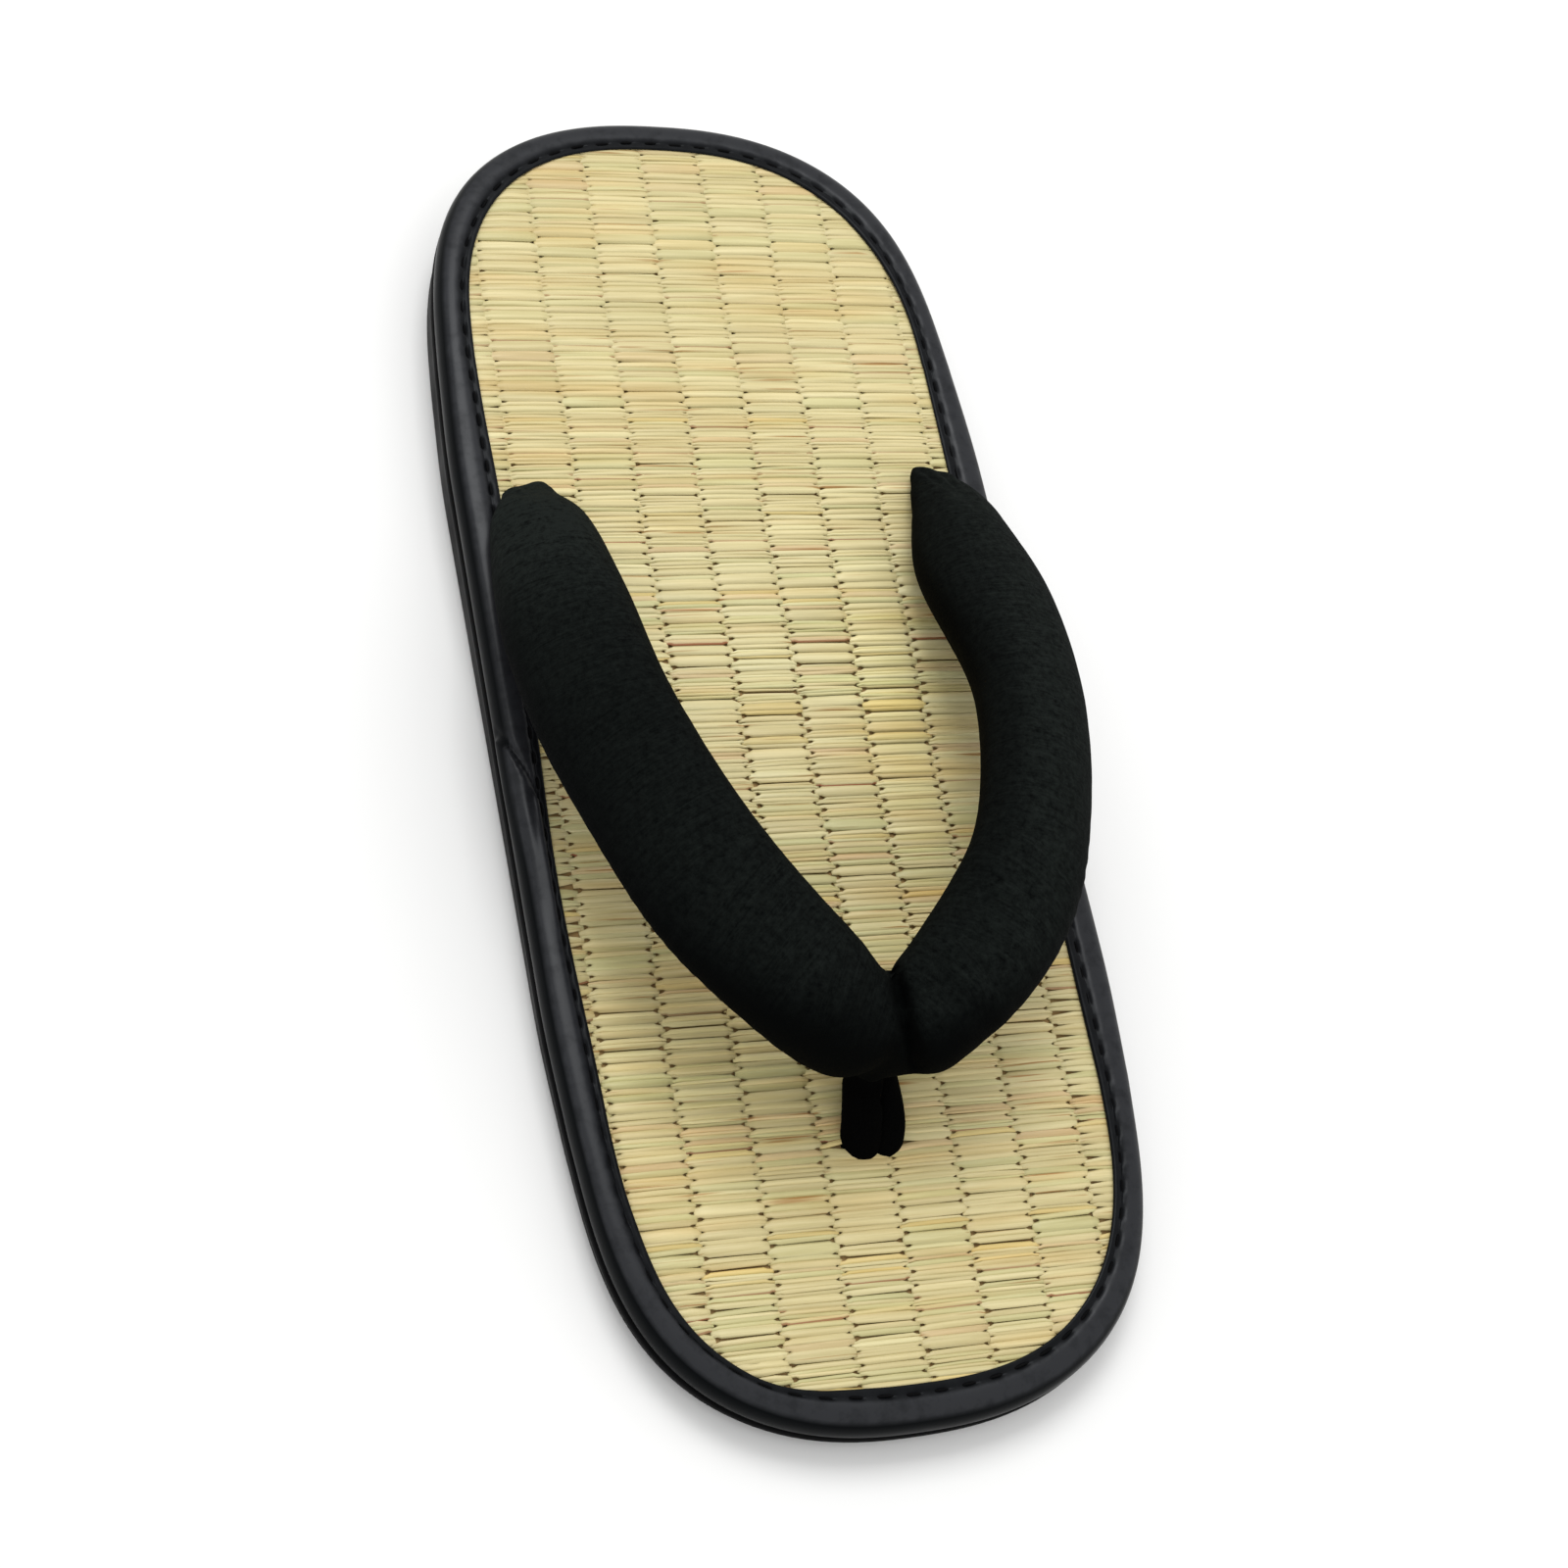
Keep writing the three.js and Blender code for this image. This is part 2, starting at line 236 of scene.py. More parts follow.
def outline(count):
    """Evenly spaced points round the mat's edge, their outward directions and the edge's length."""
    angle = np.linspace(0, np.pi / 2, FINE_STEPS)
    across = np.cos(angle).clip(0) ** (2 / END_POWER)
    along = np.sin(angle) ** (2 / END_POWER)
    point = np.c_[MAT_HALF_WIDTH * across, STRAIGHT_END + END_LENGTH * along]
    normal = np.c_[across ** (END_POWER - 1) / MAT_HALF_WIDTH, along ** (END_POWER - 1) / END_LENGTH]
    quarter = np.c_[point, normal / np.linalg.norm(normal, axis=1)[:, None]]
    flip_x = quarter[::-1] * [-1, 1, -1, 1]
    flip_both = quarter * [-1, -1, -1, -1]
    flip_y = quarter[::-1] * [1, -1, 1, -1]
    loop = np.concatenate([quarter, flip_x, flip_both, flip_y, quarter[:1]])
    loop[:, 0] = loop[:, 0] * belly(loop[:, 1]) + bend(loop[:, 1])
    loop[:, 1] *= 1 - LEFT_LONGER * loop[:, 0]
    length = np.r_[0, np.cumsum(np.linalg.norm(np.diff(loop[:, :2], axis=0), axis=1))]
    place = np.arange(count) / count * length[-1]
    loop = np.stack([np.interp(place, length, loop[:, column]) for column in range(4)], 1)
    return loop[:, :2], loop[:, 2:], length[-1]


EDGE_LENGTH = outline(FINE_STEPS)[2]
print("edge of the mat is", round(EDGE_LENGTH / MM), "mm round")

# %% [markdown]
# ## Working on meshes
# Operators act on whatever is selected, so each step first selects its one piece. Points are read and
# written as one array, which is quick even for fine meshes. What a material has to know about each point is
# kept on the mesh as an attribute.

# %% Helpers for meshes


def only(piece):
    """Selects this piece alone and makes it the active one."""
    bpy.ops.object.select_all(action="DESELECT")
    piece.select_set(True)
    bpy.context.view_layer.objects.active = piece


def vectors_of(piece, what):
    values = np.empty(len(piece.data.vertices) * 3)
    piece.data.vertices.foreach_get(what, values)
    return values.reshape(-1, 3)


def points_of(piece):
    return vectors_of(piece, "co")


def normals_of(piece):
    return vectors_of(piece, "normal")


def set_points(piece, points):
    piece.data.vertices.foreach_set("co", np.ascontiguousarray(points).ravel())
    piece.data.update()


def keep_values(piece, name, values):
    """Keeps one number for each point of a piece, for its material to read."""
    attribute = piece.data.attributes.new(name, "FLOAT", "POINT")
    attribute.data.foreach_set("value", values.astype(np.float32))


def refine(piece, levels):
    """Rounds a piece with an applied Subdivision Surface and shades it smooth."""
    only(piece)
    rounding = piece.modifiers.new("rounding", "SUBSURF")
    rounding.levels = levels
    rounding.render_levels = levels
    bpy.ops.object.modifier_apply(modifier=rounding.name)
    bpy.ops.object.shade_smooth()


def finish_piece(piece, material, slot, *replaced):
    """Hands a finished piece over: its material and the solids that it stands for. Its slot is not used."""
    wear(piece, material)
    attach(piece, "root")
    if replaced:
        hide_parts(*replaced)
    print(piece.name, "has", sum(len(p.vertices) - 2 for p in piece.data.polygons), "triangles")


# %% [markdown]
# Rush stalks and stitches repeat hundreds of times. Each is modelled once as a rod: a cylinder with rings
# cut into it by bisecting. Arrays then bend the copies, and all copies are joined into one mesh.

# %% Rods and their copies


def rod(sides, cuts, ends):
    """Points and faces of a rod that lies along X from -1 to 1, with rings cut into it."""
    bpy.ops.object.select_all(action="DESELECT")
    bpy.ops.mesh.primitive_cylinder_add(
        vertices=sides, radius=1, depth=2, end_fill_type=ends, rotation=(0, math.pi / 2, 0)
    )
    piece = bpy.context.object
    bpy.ops.object.transform_apply(location=False, rotation=True, scale=False)
    bpy.ops.object.mode_set(mode="EDIT")
    for cut in cuts:
        bpy.ops.mesh.select_all(action="SELECT")
        bpy.ops.mesh.bisect(plane_co=(cut, 0, 0), plane_no=(1, 0, 0))
    bpy.ops.object.mode_set(mode="OBJECT")
    points = points_of(piece)
    faces = [list(face.vertices) for face in piece.data.polygons]
    bpy.data.objects.remove(piece)
    return points, faces


def joined_copies(name, copies, faces):
    """One smooth piece from the points of many copies, which all have the same faces."""
    starts = range(0, len(copies) * len(copies[0]), len(copies[0]))
    all_faces = [[start + corner for corner in face] for start in starts for face in faces]
    mesh = bpy.data.meshes.new(name)
    mesh.from_pydata(np.concatenate(copies).tolist(), [], all_faces)
    piece = bpy.data.objects.new(name, mesh)
    bpy.context.scene.collection.objects.link(piece)
    only(piece)
    bpy.ops.object.shade_smooth()
    return piece


# %% [markdown]
# ## Layers of the sole
# A layer is a circle of points that is extruded over and over, each new ring moved to its place in the
# layer's cross-section. By hand one would extrude and scale. Here each point remembers its place along the
# outline, and an extruded point inherits it, so a ring can be set exactly.

# %% Rings round the sole


def ring_piece(name, count, rows, joined):
    """Extrudes a ring through rows of (out, height function), then closes the section or fills both ends."""
    edge, outwards, _ = outline(count)
    bpy.ops.object.select_all(action="DESELECT")
    bpy.ops.mesh.primitive_circle_add(vertices=count, radius=MAT_HALF_WIDTH)
    piece = bpy.context.object
    piece.name = name
    bpy.ops.object.mode_set(mode="EDIT")
    mesh = bmesh.from_edit_mesh(piece.data)
    spot = mesh.verts.layers.int.new("spot")
    for number, vertex in enumerate(mesh.verts):
        vertex[spot] = number
    for step, (out, height) in enumerate(rows):
        if step:
            bpy.ops.mesh.extrude_edges_indiv()
        mesh = bmesh.from_edit_mesh(piece.data)
        spot = mesh.verts.layers.int["spot"]
        ring = [vertex for vertex in mesh.verts if vertex.select]
        for vertex in ring:
            x, y = edge[vertex[spot]] + outwards[vertex[spot]] * out
            x += outwards[vertex[spot]][0] * flare(y, out)
            vertex.co = (x, y, height(y))
        bmesh.update_edit_mesh(piece.data)
    if joined:
        bpy.ops.mesh.select_all(action="DESELECT")
        bpy.ops.mesh.select_non_manifold()
        bpy.ops.mesh.bridge_edge_loops()
    else:
        bpy.ops.mesh.select_all(action="SELECT")
        bpy.ops.mesh.fill_holes(sides=0)
    bpy.ops.mesh.select_all(action="SELECT")
    bpy.ops.mesh.normals_make_consistent(inside=False)
    bpy.ops.object.mode_set(mode="OBJECT")
    return piece


def over_mat(up):
    """A height function: so far over the top of the mat."""
    return lambda y: mat_top(y) + up


def rows_over_mat(rows):
    """Rows of a section, from millimetres out from the mat's edge and up from its top."""
    return [(row["out"] * MM, over_mat(row["up"] * MM)) for row in rows]


# %% [markdown]
# ## The rush mat
# Rush stalks run across the sandal in rows. Each row goes over one column and under the next, and its
# neighbours do the opposite, so every column shows floats that taper at both ends and dive between those of
# the next column. A bumpy plane could hint at that, but the gaps at the ends are deep, so the floats are
# real.
#
# One stalk is a rod with more rings near its ends, where it bends. A few named shades stand for the mix of
# straw, green and gold, and now and then a thin russet stalk lies between two rows.

# %% Stalk and shades
STALK_SIDES = 7
STALK_CUTS = (-0.95, -0.83, -0.73, 0.0, 0.73, 0.83, 0.95)
WEAVE_SEED = 11
SHADES = [
    {"name": "straw", "colour": screen(216, 202, 152), "share": 0.49},
    {"name": "pale", "colour": screen(225, 214, 165), "share": 0.2},
    {"name": "green", "colour": screen(206, 200, 147), "share": 0.2},
    {"name": "gold", "colour": screen(219, 196, 128), "share": 0.05},
    {"name": "tan", "colour": screen(213, 187, 141), "share": 0.06},
]
RUSSET_SHARE = 0.12
RUSSET = {"half_width": 0.3 * MM, "lift": -0.1 * MM, "colour": np.array(screen(152, 92, 54)[:3])}

rng = np.random.default_rng(WEAVE_SEED)
shade_colours = np.array([shade["colour"][:3] for shade in SHADES])
shade_shares = np.array([shade["share"] for shade in SHADES])
stalk_points, stalk_faces = rod(STALK_SIDES, STALK_CUTS, "TRIFAN")
print("a stalk has", len(stalk_points), "points, and its shade is one of", [s["name"] for s in SHADES])

# %% [markdown]
# The rows are drawn from a seeded random source: how many stalks lie in a row, how wide they spread, how
# high they lie and their shades. The heel is pressed flatter and wider, and under the ball of the foot the
# weave is most open.

# %% Rows of the weave
ROW_PITCH = 1.14 * MM
ROW_JITTER = 0.12
HEEL = (10 * MM, 90 * MM)
OPEN = {"y": -30 * MM, "reach": 45 * MM}
STALKS_IN_ROW = [
    {"count": 1, "share": 0.15, "more_at_heel": 0.2},
    {"count": 2, "share": 0.5, "more_at_heel": 0.0},
    {"count": 3, "share": 0.35, "more_at_heel": -0.2},
]
THIN_ROW = {"width": 0.84, "wider_at_heel": 0.1, "share": 0.12, "more_where_open": 0.14}
EVEN_ROW = {"width": 1.0, "share": 0.45}
FULL_ROW_WIDTH = 1.06
HEEL_WIDER = 0.06
STALK_SHARES = (0.6, 1.4)
STALK_SPREAD = {"alone": 1.1, "packed": 1.2}
STALK_LIFT = {"jitter": 0.05 * MM, "lower_at_sides": 0.14 * MM}
STALK_TONES = (0.95, 1.04)


def heel_share(y):
    return smoothstep(HEEL, y)


def openness(y):
    return hill(y, OPEN["y"], OPEN["reach"])


def draw_row(number):
    """One row of rush: its place, and for each of its stalks the offset, half width, lift and colour."""
    middle = -MAT_HALF_LENGTH + (number + rng.uniform(-ROW_JITTER, ROW_JITTER)) * ROW_PITCH
    heel = heel_share(middle)
    count_shares = [row["share"] + row["more_at_heel"] * heel for row in STALKS_IN_ROW]
    count = rng.choice([row["count"] for row in STALKS_IN_ROW], p=count_shares)
    widths = [THIN_ROW["width"] + THIN_ROW["wider_at_heel"] * heel, EVEN_ROW["width"], FULL_ROW_WIDTH]
    thin = THIN_ROW["share"] + THIN_ROW["more_where_open"] * openness(middle)
    width = rng.choice(widths, p=[thin, EVEN_ROW["share"], 1 - EVEN_ROW["share"] - thin])
    reach = ROW_PITCH * (width + HEEL_WIDER * heel)
    shares = rng.uniform(*STALK_SHARES, count)
    edges = np.r_[0, np.cumsum(shares / shares.sum())] * 2 - 1
    spread = STALK_SPREAD["alone" if count == 1 else "packed"]
    stalks = []
    for low, high in zip(edges[:-1], edges[1:]):
        aside = (low + high) / 2
        lift = rng.uniform(-STALK_LIFT["jitter"], STALK_LIFT["jitter"])
        stalks.append({
            "offset": aside * reach,
            "half_width": (high - low) / 2 * reach * spread,
            "lift": lift - STALK_LIFT["lower_at_sides"] * aside**2,
            "colour": shade_colours[rng.choice(len(SHADES), p=shade_shares)] * rng.uniform(*STALK_TONES),
        })
    if rng.random() < RUSSET_SHARE:
        stalks.append({"offset": -reach, **RUSSET})
    return middle, stalks


# %% [markdown]
# A float is a copy of the stalk over one column. It is drawn in and dives at its ends, is pressed down
# where the tape covers it, and bows aside round the toe loop.

# %% Shape of a float
COLUMN_PITCH = 12.05 * MM
HALF_COLUMN = COLUMN_PITCH / 2
COLUMN_START = 5.0 * MM
COLUMN_LEAN = math.tan(math.radians(1.1))
COLUMN_WAVER = {"most": 0.25 * MM, "length": 8 * MM}
OVERLAP = 1.05  # floats reach past their column by this share of its half width
END_JITTER = (-0.03, 0.05)
SHORTEST_FLOAT = 0.25
UNDER_TAPE = 2.4 * MM
DRAWN_IN = {"all": 0.25, "more_where_open": 0.1, "less_at_heel": 0.07, "span": (0.78, 0.87)}
DIVE = {"depth": 0.3 * MM, "span": (0.9, OVERLAP)}
HEEL_FLATTER = 0.4
SKEW = 0.06 * MM
SHIFT = 0.04 * MM
CROWN = {"height": 0.16 * MM, "lower_at_ends": 0.1 * MM}
PRESSED = {"depth": 0.45 * MM, "span": (-UNDER_TAPE, 2.5 * MM)}
STALK_HALF_HEIGHT = 0.3 * MM
FLAT_TOP_POWER = 0.6
LOOP_HOLE = {"x": 0.7 * MM, "y": -83.4 * MM, "reach": 5.5 * MM, "part": 1.7 * MM}


def float_span(middle, column):
    """The centre of a column on a row, and how far a float reaches there to each side, in half columns."""
    waver = COLUMN_WAVER["most"] * math.sin(middle / COLUMN_WAVER["length"])
    centre = COLUMN_START + (column + 0.5) * COLUMN_PITCH + COLUMN_LEAN * middle + waver
    limit = half_width_at(middle, UNDER_TAPE)
    low = max(-OVERLAP - rng.uniform(*END_JITTER), (bend(middle) - limit - centre) / HALF_COLUMN)
    high = min(OVERLAP + rng.uniform(*END_JITTER), (bend(middle) + limit - centre) / HALF_COLUMN)
    return centre, low, high


def float_points(middle, stalk, centre, along):
    """Points of one stalk over one column, where along is each point's place in half columns."""
    heel = heel_share(middle)
    drawn_in = DRAWN_IN["all"] + DRAWN_IN["more_where_open"] * openness(middle)
    drawn_in -= DRAWN_IN["less_at_heel"] * heel
    narrow = 1 - drawn_in * smoothstep(DRAWN_IN["span"], np.abs(along))
    dive = DIVE["depth"] * (1 - HEEL_FLATTER * heel) * smoothstep(DIVE["span"], np.abs(along))
    x = centre + along * HALF_COLUMN
    y = middle + (stalk["offset"] + stalk_points[:, 1] * stalk["half_width"]) * narrow
    y = y + along * rng.normal(0, SKEW) + rng.normal(0, SHIFT)
    inside = half_width_at(y, UNDER_TAPE) - UNDER_TAPE - np.abs(x - bend(y))
    free = smoothstep(PRESSED["span"], inside)
    crown = CROWN["height"] + stalk["lift"] * (1 - HEEL_FLATTER * heel) - CROWN["lower_at_ends"] * along**2
    z = (crown - dive) * free - PRESSED["depth"] * (1 - free)
    flat_top = np.sign(stalk_points[:, 2]) * np.abs(stalk_points[:, 2]) ** FLAT_TOP_POWER
    z = z + flat_top * STALK_HALF_HEIGHT * narrow
    bow = LOOP_HOLE["part"] * hill(x, LOOP_HOLE["x"], LOOP_HOLE["reach"])
    aside = middle + stalk["offset"] - LOOP_HOLE["y"]
    y = y + math.copysign(1, aside) * (np.sqrt(aside**2 + bow**2) - abs(aside))
    return np.c_[x, y, mat_top(y) + z]


# %% [markdown]
# Each float takes its stalk's shade, mixed a little with straw, and its ends are painted a little darker:
# painted shade where it dives. The middle of the mat, between the arms, is painted paler: painted light
# against the shade that the strap casts there. In the strap's shadow every row gets painted shade, lighter
# in its middle and darker at its edges, most on its toe side, so that it looks rounded, and the shaded rush
# there is painted yellower.

# %% Colours of a float
FADE = {"most": 0.5, "more_at_heel": 0.3}
# painted shade: each float is painted a little darker towards its ends, where it dives
END_PAINTED_SHADE = {"depth": 0.06, "span": (0.8, 1.0)}
FLOAT_TONES = (0.96, 1.04)
# painted light: the middle of the mat is painted paler, against the shade that the strap casts there
PAINTED_MIDDLE_LIGHT = {"y": 8 * MM, "reach": 30 * MM, "paler": np.array([0.12, 0.155, 0.21])}
# spots of painted shade, where the strap's shadow falls on the mat
STRAP_SHADOW = [
    {"x": -16 * MM, "y": -62 * MM, "across": 30 * MM, "along": 24 * MM},
    {"x": 23 * MM, "y": 0 * MM, "across": 9 * MM, "along": 26 * MM},
]
SHADOW_TINT = np.array([0.05, 0.035, -0.06])
# painted shade across a row: lighter in its middle, darker at its edges, most on its toe side
ROW_FORM_SHADE = {"middle": 0.16, "slope": 0.2, "curve": -0.45}
FARTHEST_ACROSS = 1.1


def painted_row_shade(x, middle, across):
    """Painted shade in the strap's shadow: rows darker at their edges, most on the toe side, and yellower."""
    in_shadow = np.zeros(len(x))
    for spot in STRAP_SHADOW:
        near = hill(x, spot["x"], spot["across"]) * hill(middle, spot["y"], spot["along"])
        in_shadow = np.maximum(in_shadow, near)
    form_shade = ROW_FORM_SHADE["middle"] + ROW_FORM_SHADE["slope"] * across + ROW_FORM_SHADE["curve"] * across**2
    return 1 + in_shadow[:, None] * (form_shade[:, None] + SHADOW_TINT)


def float_colours(middle, stalk, x, along):
    """Colours of the points of one float."""
    fade = rng.uniform(0, FADE["most"]) + FADE["more_at_heel"] * heel_share(middle)
    colour = stalk["colour"] * (1 - fade) + shade_colours[0] * fade
    end_painted_shade = END_PAINTED_SHADE["depth"] * smoothstep(END_PAINTED_SHADE["span"], np.abs(along))
    middle_light = 1 + PAINTED_MIDDLE_LIGHT["paler"] * hill(middle, PAINTED_MIDDLE_LIGHT["y"], PAINTED_MIDDLE_LIGHT["reach"])
    across = (stalk["offset"] + stalk_points[:, 1] * stalk["half_width"]) / ROW_PITCH
    across = np.clip(across, -FARTHEST_ACROSS, FARTHEST_ACROSS)
    tint = colour * rng.uniform(*FLOAT_TONES) * middle_light * (1 - end_painted_shade)[:, None]
    return tint * painted_row_shade(x, middle, across)


# %% [markdown]
# A row lies on top in every second column, so the floats fall into two sets, like the squares of a
# chessboard. Each set becomes one mesh, with the colours kept on its points.

# %% The two sets of floats
ROWS = int(2 * MAT_HALF_LENGTH / ROW_PITCH)
ROWS_BEFORE, ROWS_AFTER = 2, 4
COLUMNS = range(-6, 5)


def weave_set(name, rows, parity):
    """Joins all floats of the rows over columns of one parity into one mesh."""
    points, colours = [], []
    for number, (middle, stalks) in enumerate(rows):
        columns = [column for column in COLUMNS if column % 2 == parity and (number + column) % 2 == 0]
        for column in columns:
            for stalk in stalks:
                centre, low, high = float_span(middle, column)
                if high - low < SHORTEST_FLOAT:
                    continue
                along = low + (stalk_points[:, 0] + 1) / 2 * (high - low)
                points.append(float_points(middle, stalk, centre, along))
                colours.append(float_colours(middle, stalk, centre + along * HALF_COLUMN, along))
    piece = joined_copies(name, points, stalk_faces)
    rgb = np.concatenate(colours)
    shade = piece.data.attributes.new("rush_colour", "FLOAT_COLOR", "POINT")
    shade.data.foreach_set("color", np.c_[rgb, np.ones(len(rgb))].astype(np.float32).ravel())
    return piece


weave_rows = [draw_row(number) for number in range(-ROWS_BEFORE, ROWS + ROWS_AFTER)]
weave = [weave_set("rush_even", weave_rows, parity=0), weave_set("rush_odd", weave_rows, parity=1)]
print(len(weave_rows), "rows of rush")

# %% [markdown]
# Dried rush has a satin skin with fine lines along the stalk. The colour of each stalk comes from the mesh.
# Noises that are stretched along the stalk add the rest: fine lines in colour and relief, warm patches that
# run on from float to float, and a few thin brown streaks.

# %% Rush finish


def scaled_noise(tree, scale, detail, low, high):
    """A noise with its own scale along each axis, spread to go from 0 to 1 between low and high."""
    place = add_node(tree, "TexCoord").outputs["Object"]
    stretch = add_node(tree, "Mapping", {"Vector": place, "Scale": scale}).outputs["Vector"]
    noise = add_node(tree, "TexNoise", {"Vector": stretch, "Scale": 1.0, "Detail": detail, "Roughness": 0.6})
    spread = add_node(tree, "MapRange", {"Value": noise.outputs["Fac"], "From Min": low, "From Max": high})
    return spread.outputs["Result"]


def tinted(tree, base, share, tint):
    """The base colour multiplied by a tint, by a share between 0 and 1."""
    mix = add_node(
        tree, "Mix", {"Factor": share, "A": base, "B": tint}, data_type="RGBA", blend_type="MULTIPLY"
    )
    return mix.outputs["Result"]


rush, tree, shader = new_material("rush", {"Roughness": 0.42, "Specular IOR Level": 0.4})
lines = scaled_noise(tree, scale=(45, 1300, 600), detail=3.0, low=0.68, high=0.32)
patches = scaled_noise(tree, scale=(22, 260, 260), detail=1.0, low=0.5, high=0.75)
streaks = scaled_noise(tree, scale=(40, 1500, 700), detail=1.0, low=0.68, high=0.76)
colour = add_node(tree, "Attribute", attribute_name="rush_colour").outputs["Color"]
colour = tinted(tree, colour, lines, (0.78, 0.77, 0.68, 1))
colour = tinted(tree, colour, patches, (0.98, 0.89, 0.78, 1))
colour = tinted(tree, colour, streaks, (0.62, 0.4, 0.24, 1))
relief = add_node(tree, "Bump", {"Height": lines, "Strength": 0.35, "Distance": 0.12 * MM}, invert=True)
feed(tree, shader, {"Base Color": colour, "Normal": relief.outputs["Normal"]})
for piece in weave:
    finish_piece(piece, rush, "rush")

# %% [markdown]
# Under the floats lies the core of the footbed. Only its darkness shows, through the gaps, so it is one
# plain layer, a little lower than the mat's top, in a dim brown with fibres: painted shade for the stalks
# that pass beneath the floats.

# %% Core of the footbed
CORE_SEGMENTS = 160
CORE_ROWS = [
    {"out": 3.6, "up": -0.52},
    {"out": 5.2, "up": -1.3},
    {"out": 5.5, "up": -2.2},
    {"out": 5.2, "up": -3.3},
    {"out": 4.2, "up": -3.9},
    {"out": 1.6, "up": -3.9},
    {"out": 1.4, "up": -5.0},
]
core = ring_piece("footbed_core", CORE_SEGMENTS, rows_over_mat(CORE_ROWS), joined=False)
# painted shade: a dim brown for the stalks that pass under the floats
shaded_rush, tree, shader = new_material("shaded_rush", {"Roughness": 0.8})
fibres = scaled_noise(tree, scale=(60, 1600, 800), detail=2.0, low=0.35, high=0.65)
feed(tree, shader, {"Base Color": two_tones(tree, fibres, screen(146, 116, 70), screen(170, 140, 90))})
finish_piece(core, shaded_rush, "rush", "rush_footbed")

# %% [markdown]
# ## The tape round the edge
# A vinyl tape is folded over the edge of the mat and sewn down. Its section shows a narrow flat strip, the
# groove that the thread pulls in, a soft crown and a full roll down the side. A bevelled curve could sweep
# such a section, but it would be the same all the way round. Extruded rings leave a mesh whose points can
# then be moved: the thread puckers the tape at every stitch, and on one side the tape's end lies over its
# start.

# %% Tape
TAPE_SEGMENTS = 620
TAPE_ROWS = [
    {"out": -0.1, "up": 0.3},
    {"out": -0.3, "up": 0.5},
    {"out": -0.2, "up": 0.76},
    {"out": 0.1, "up": 0.9},
    {"out": 0.55, "up": 0.92},
    {"out": 0.95, "up": 0.8},
    {"out": 1.3, "up": 0.5},
    {"out": 1.65, "up": 0.82},
    {"out": 2.1, "up": 1.06},
    {"out": 2.9, "up": 1.16},
    {"out": 3.9, "up": 1.1},
    {"out": 4.9, "up": 0.93},
    {"out": 5.8, "up": 0.52},
    {"out": 6.45, "up": -0.3},
    {"out": 6.85, "up": -1.4},
    {"out": 7.0, "up": -2.7},
    {"out": 6.75, "up": -3.95},
    {"out": 6.1, "up": -4.85},
    {"out": 5.2, "up": -5.0},
    {"out": 2.2, "up": -5.0},
    {"out": 2.1, "up": -4.3},
    {"out": 4.35, "up": -4.2},
    {"out": 5.45, "up": -3.5},
    {"out": 5.85, "up": -2.2},
    {"out": 5.6, "up": -0.75},
    {"out": 4.75, "up": 0.1},
    {"out": 3.0, "up": 0.25},
]
tape = ring_piece("edge_tape", TAPE_SEGMENTS, rows_over_mat(TAPE_ROWS), joined=True)
refine(tape, levels=1)
print("the tape has", len(tape.data.vertices), "points")

# %% [markdown]
# The moves are small and soft. The first are puckers at the stitches, in and beside the groove, and a slow
# waver of the whole tape. Every point has to know how far round the edge it lies and how far out, which a
# search for the nearest point of a fine outline tells.

# %% Puckers of the tape
STITCH_SPACING = 5.0 * MM
STITCHES = round(EDGE_LENGTH / STITCH_SPACING)
STITCH_PITCH = EDGE_LENGTH / STITCHES
SEAM_OUT = 1.3 * MM
FINE_EDGE = 4000
TOP_OF_TAPE = (-1.5 * MM, 0.4 * MM)
AT_STITCH = (-0.35, 0.3)
RIDGE = {"reach": 0.4 * MM, "height": 0.2 * MM}
DIP = {"reach": 0.9 * MM, "depth": 0.05 * MM}
WAVER = {"most": 0.1 * MM, "length": 37 * MM, "drift": 1.3, "drift_length": 61 * MM}

edge_points, edge_normals, _ = outline(FINE_EDGE)
edge_tree = KDTree(FINE_EDGE)
for number, point in enumerate(edge_points):
    edge_tree.insert((*point, 0), number)
edge_tree.balance()


def waver(along, wave):
    """An uneven wave along the edge."""
    drift = wave["drift"] * np.sin(along / wave["drift_length"])
    return wave["most"] * np.sin(along / wave["length"] + drift)


tape_points = points_of(tape)
nearest = np.array([edge_tree.find((x, y, 0))[1] for x, y, _ in tape_points])
outwards = edge_normals[nearest]
along = nearest / FINE_EDGE * EDGE_LENGTH
out = ((tape_points[:, :2] - edge_points[nearest]) * outwards).sum(1)
over = tape_points[:, 2] - mat_top(tape_points[:, 1])
on_top = smoothstep(TOP_OF_TAPE, over)
at_stitch = smoothstep(AT_STITCH, np.cos(along / STITCH_PITCH * 2 * np.pi))
lift = RIDGE["height"] * hill(out, SEAM_OUT, RIDGE["reach"]) * (1 - at_stitch)
lift -= DIP["depth"] * hill(out, SEAM_OUT, DIP["reach"]) * at_stitch
lift += waver(along, WAVER)
lift *= on_top
print(STITCHES, "stitches of", round(STITCH_PITCH / MM, 2), "mm")

# %% [markdown]
# On the left the tape's end lies over its start: a diagonal step, with a groove along it and a fold that
# runs out from it towards the toe.

# %% Overlap of the tape
TAPE_JOINT = {"out": 4.5 * MM, "y": -9.6 * MM, "slant": 2.6}
JOINT_OUT = (1.4 * MM, 2.4 * MM)
JOINT_UP = (-3.4 * MM, -1.4 * MM)
STEP = {"height": 0.55 * MM, "rise": (0, 1.2 * MM), "fade": (9 * MM, 30 * MM)}
STEP_GROOVE = {"depth": 0.4 * MM, "past": -0.8 * MM, "reach": 1.0 * MM}
FOLD = {"depth": 0.5 * MM, "reach": 0.45 * MM, "length": 8 * MM, "start": (0, 2 * MM)}
FOLD_OUT = {"at_joint": 3.4 * MM, "drift": 0.05}

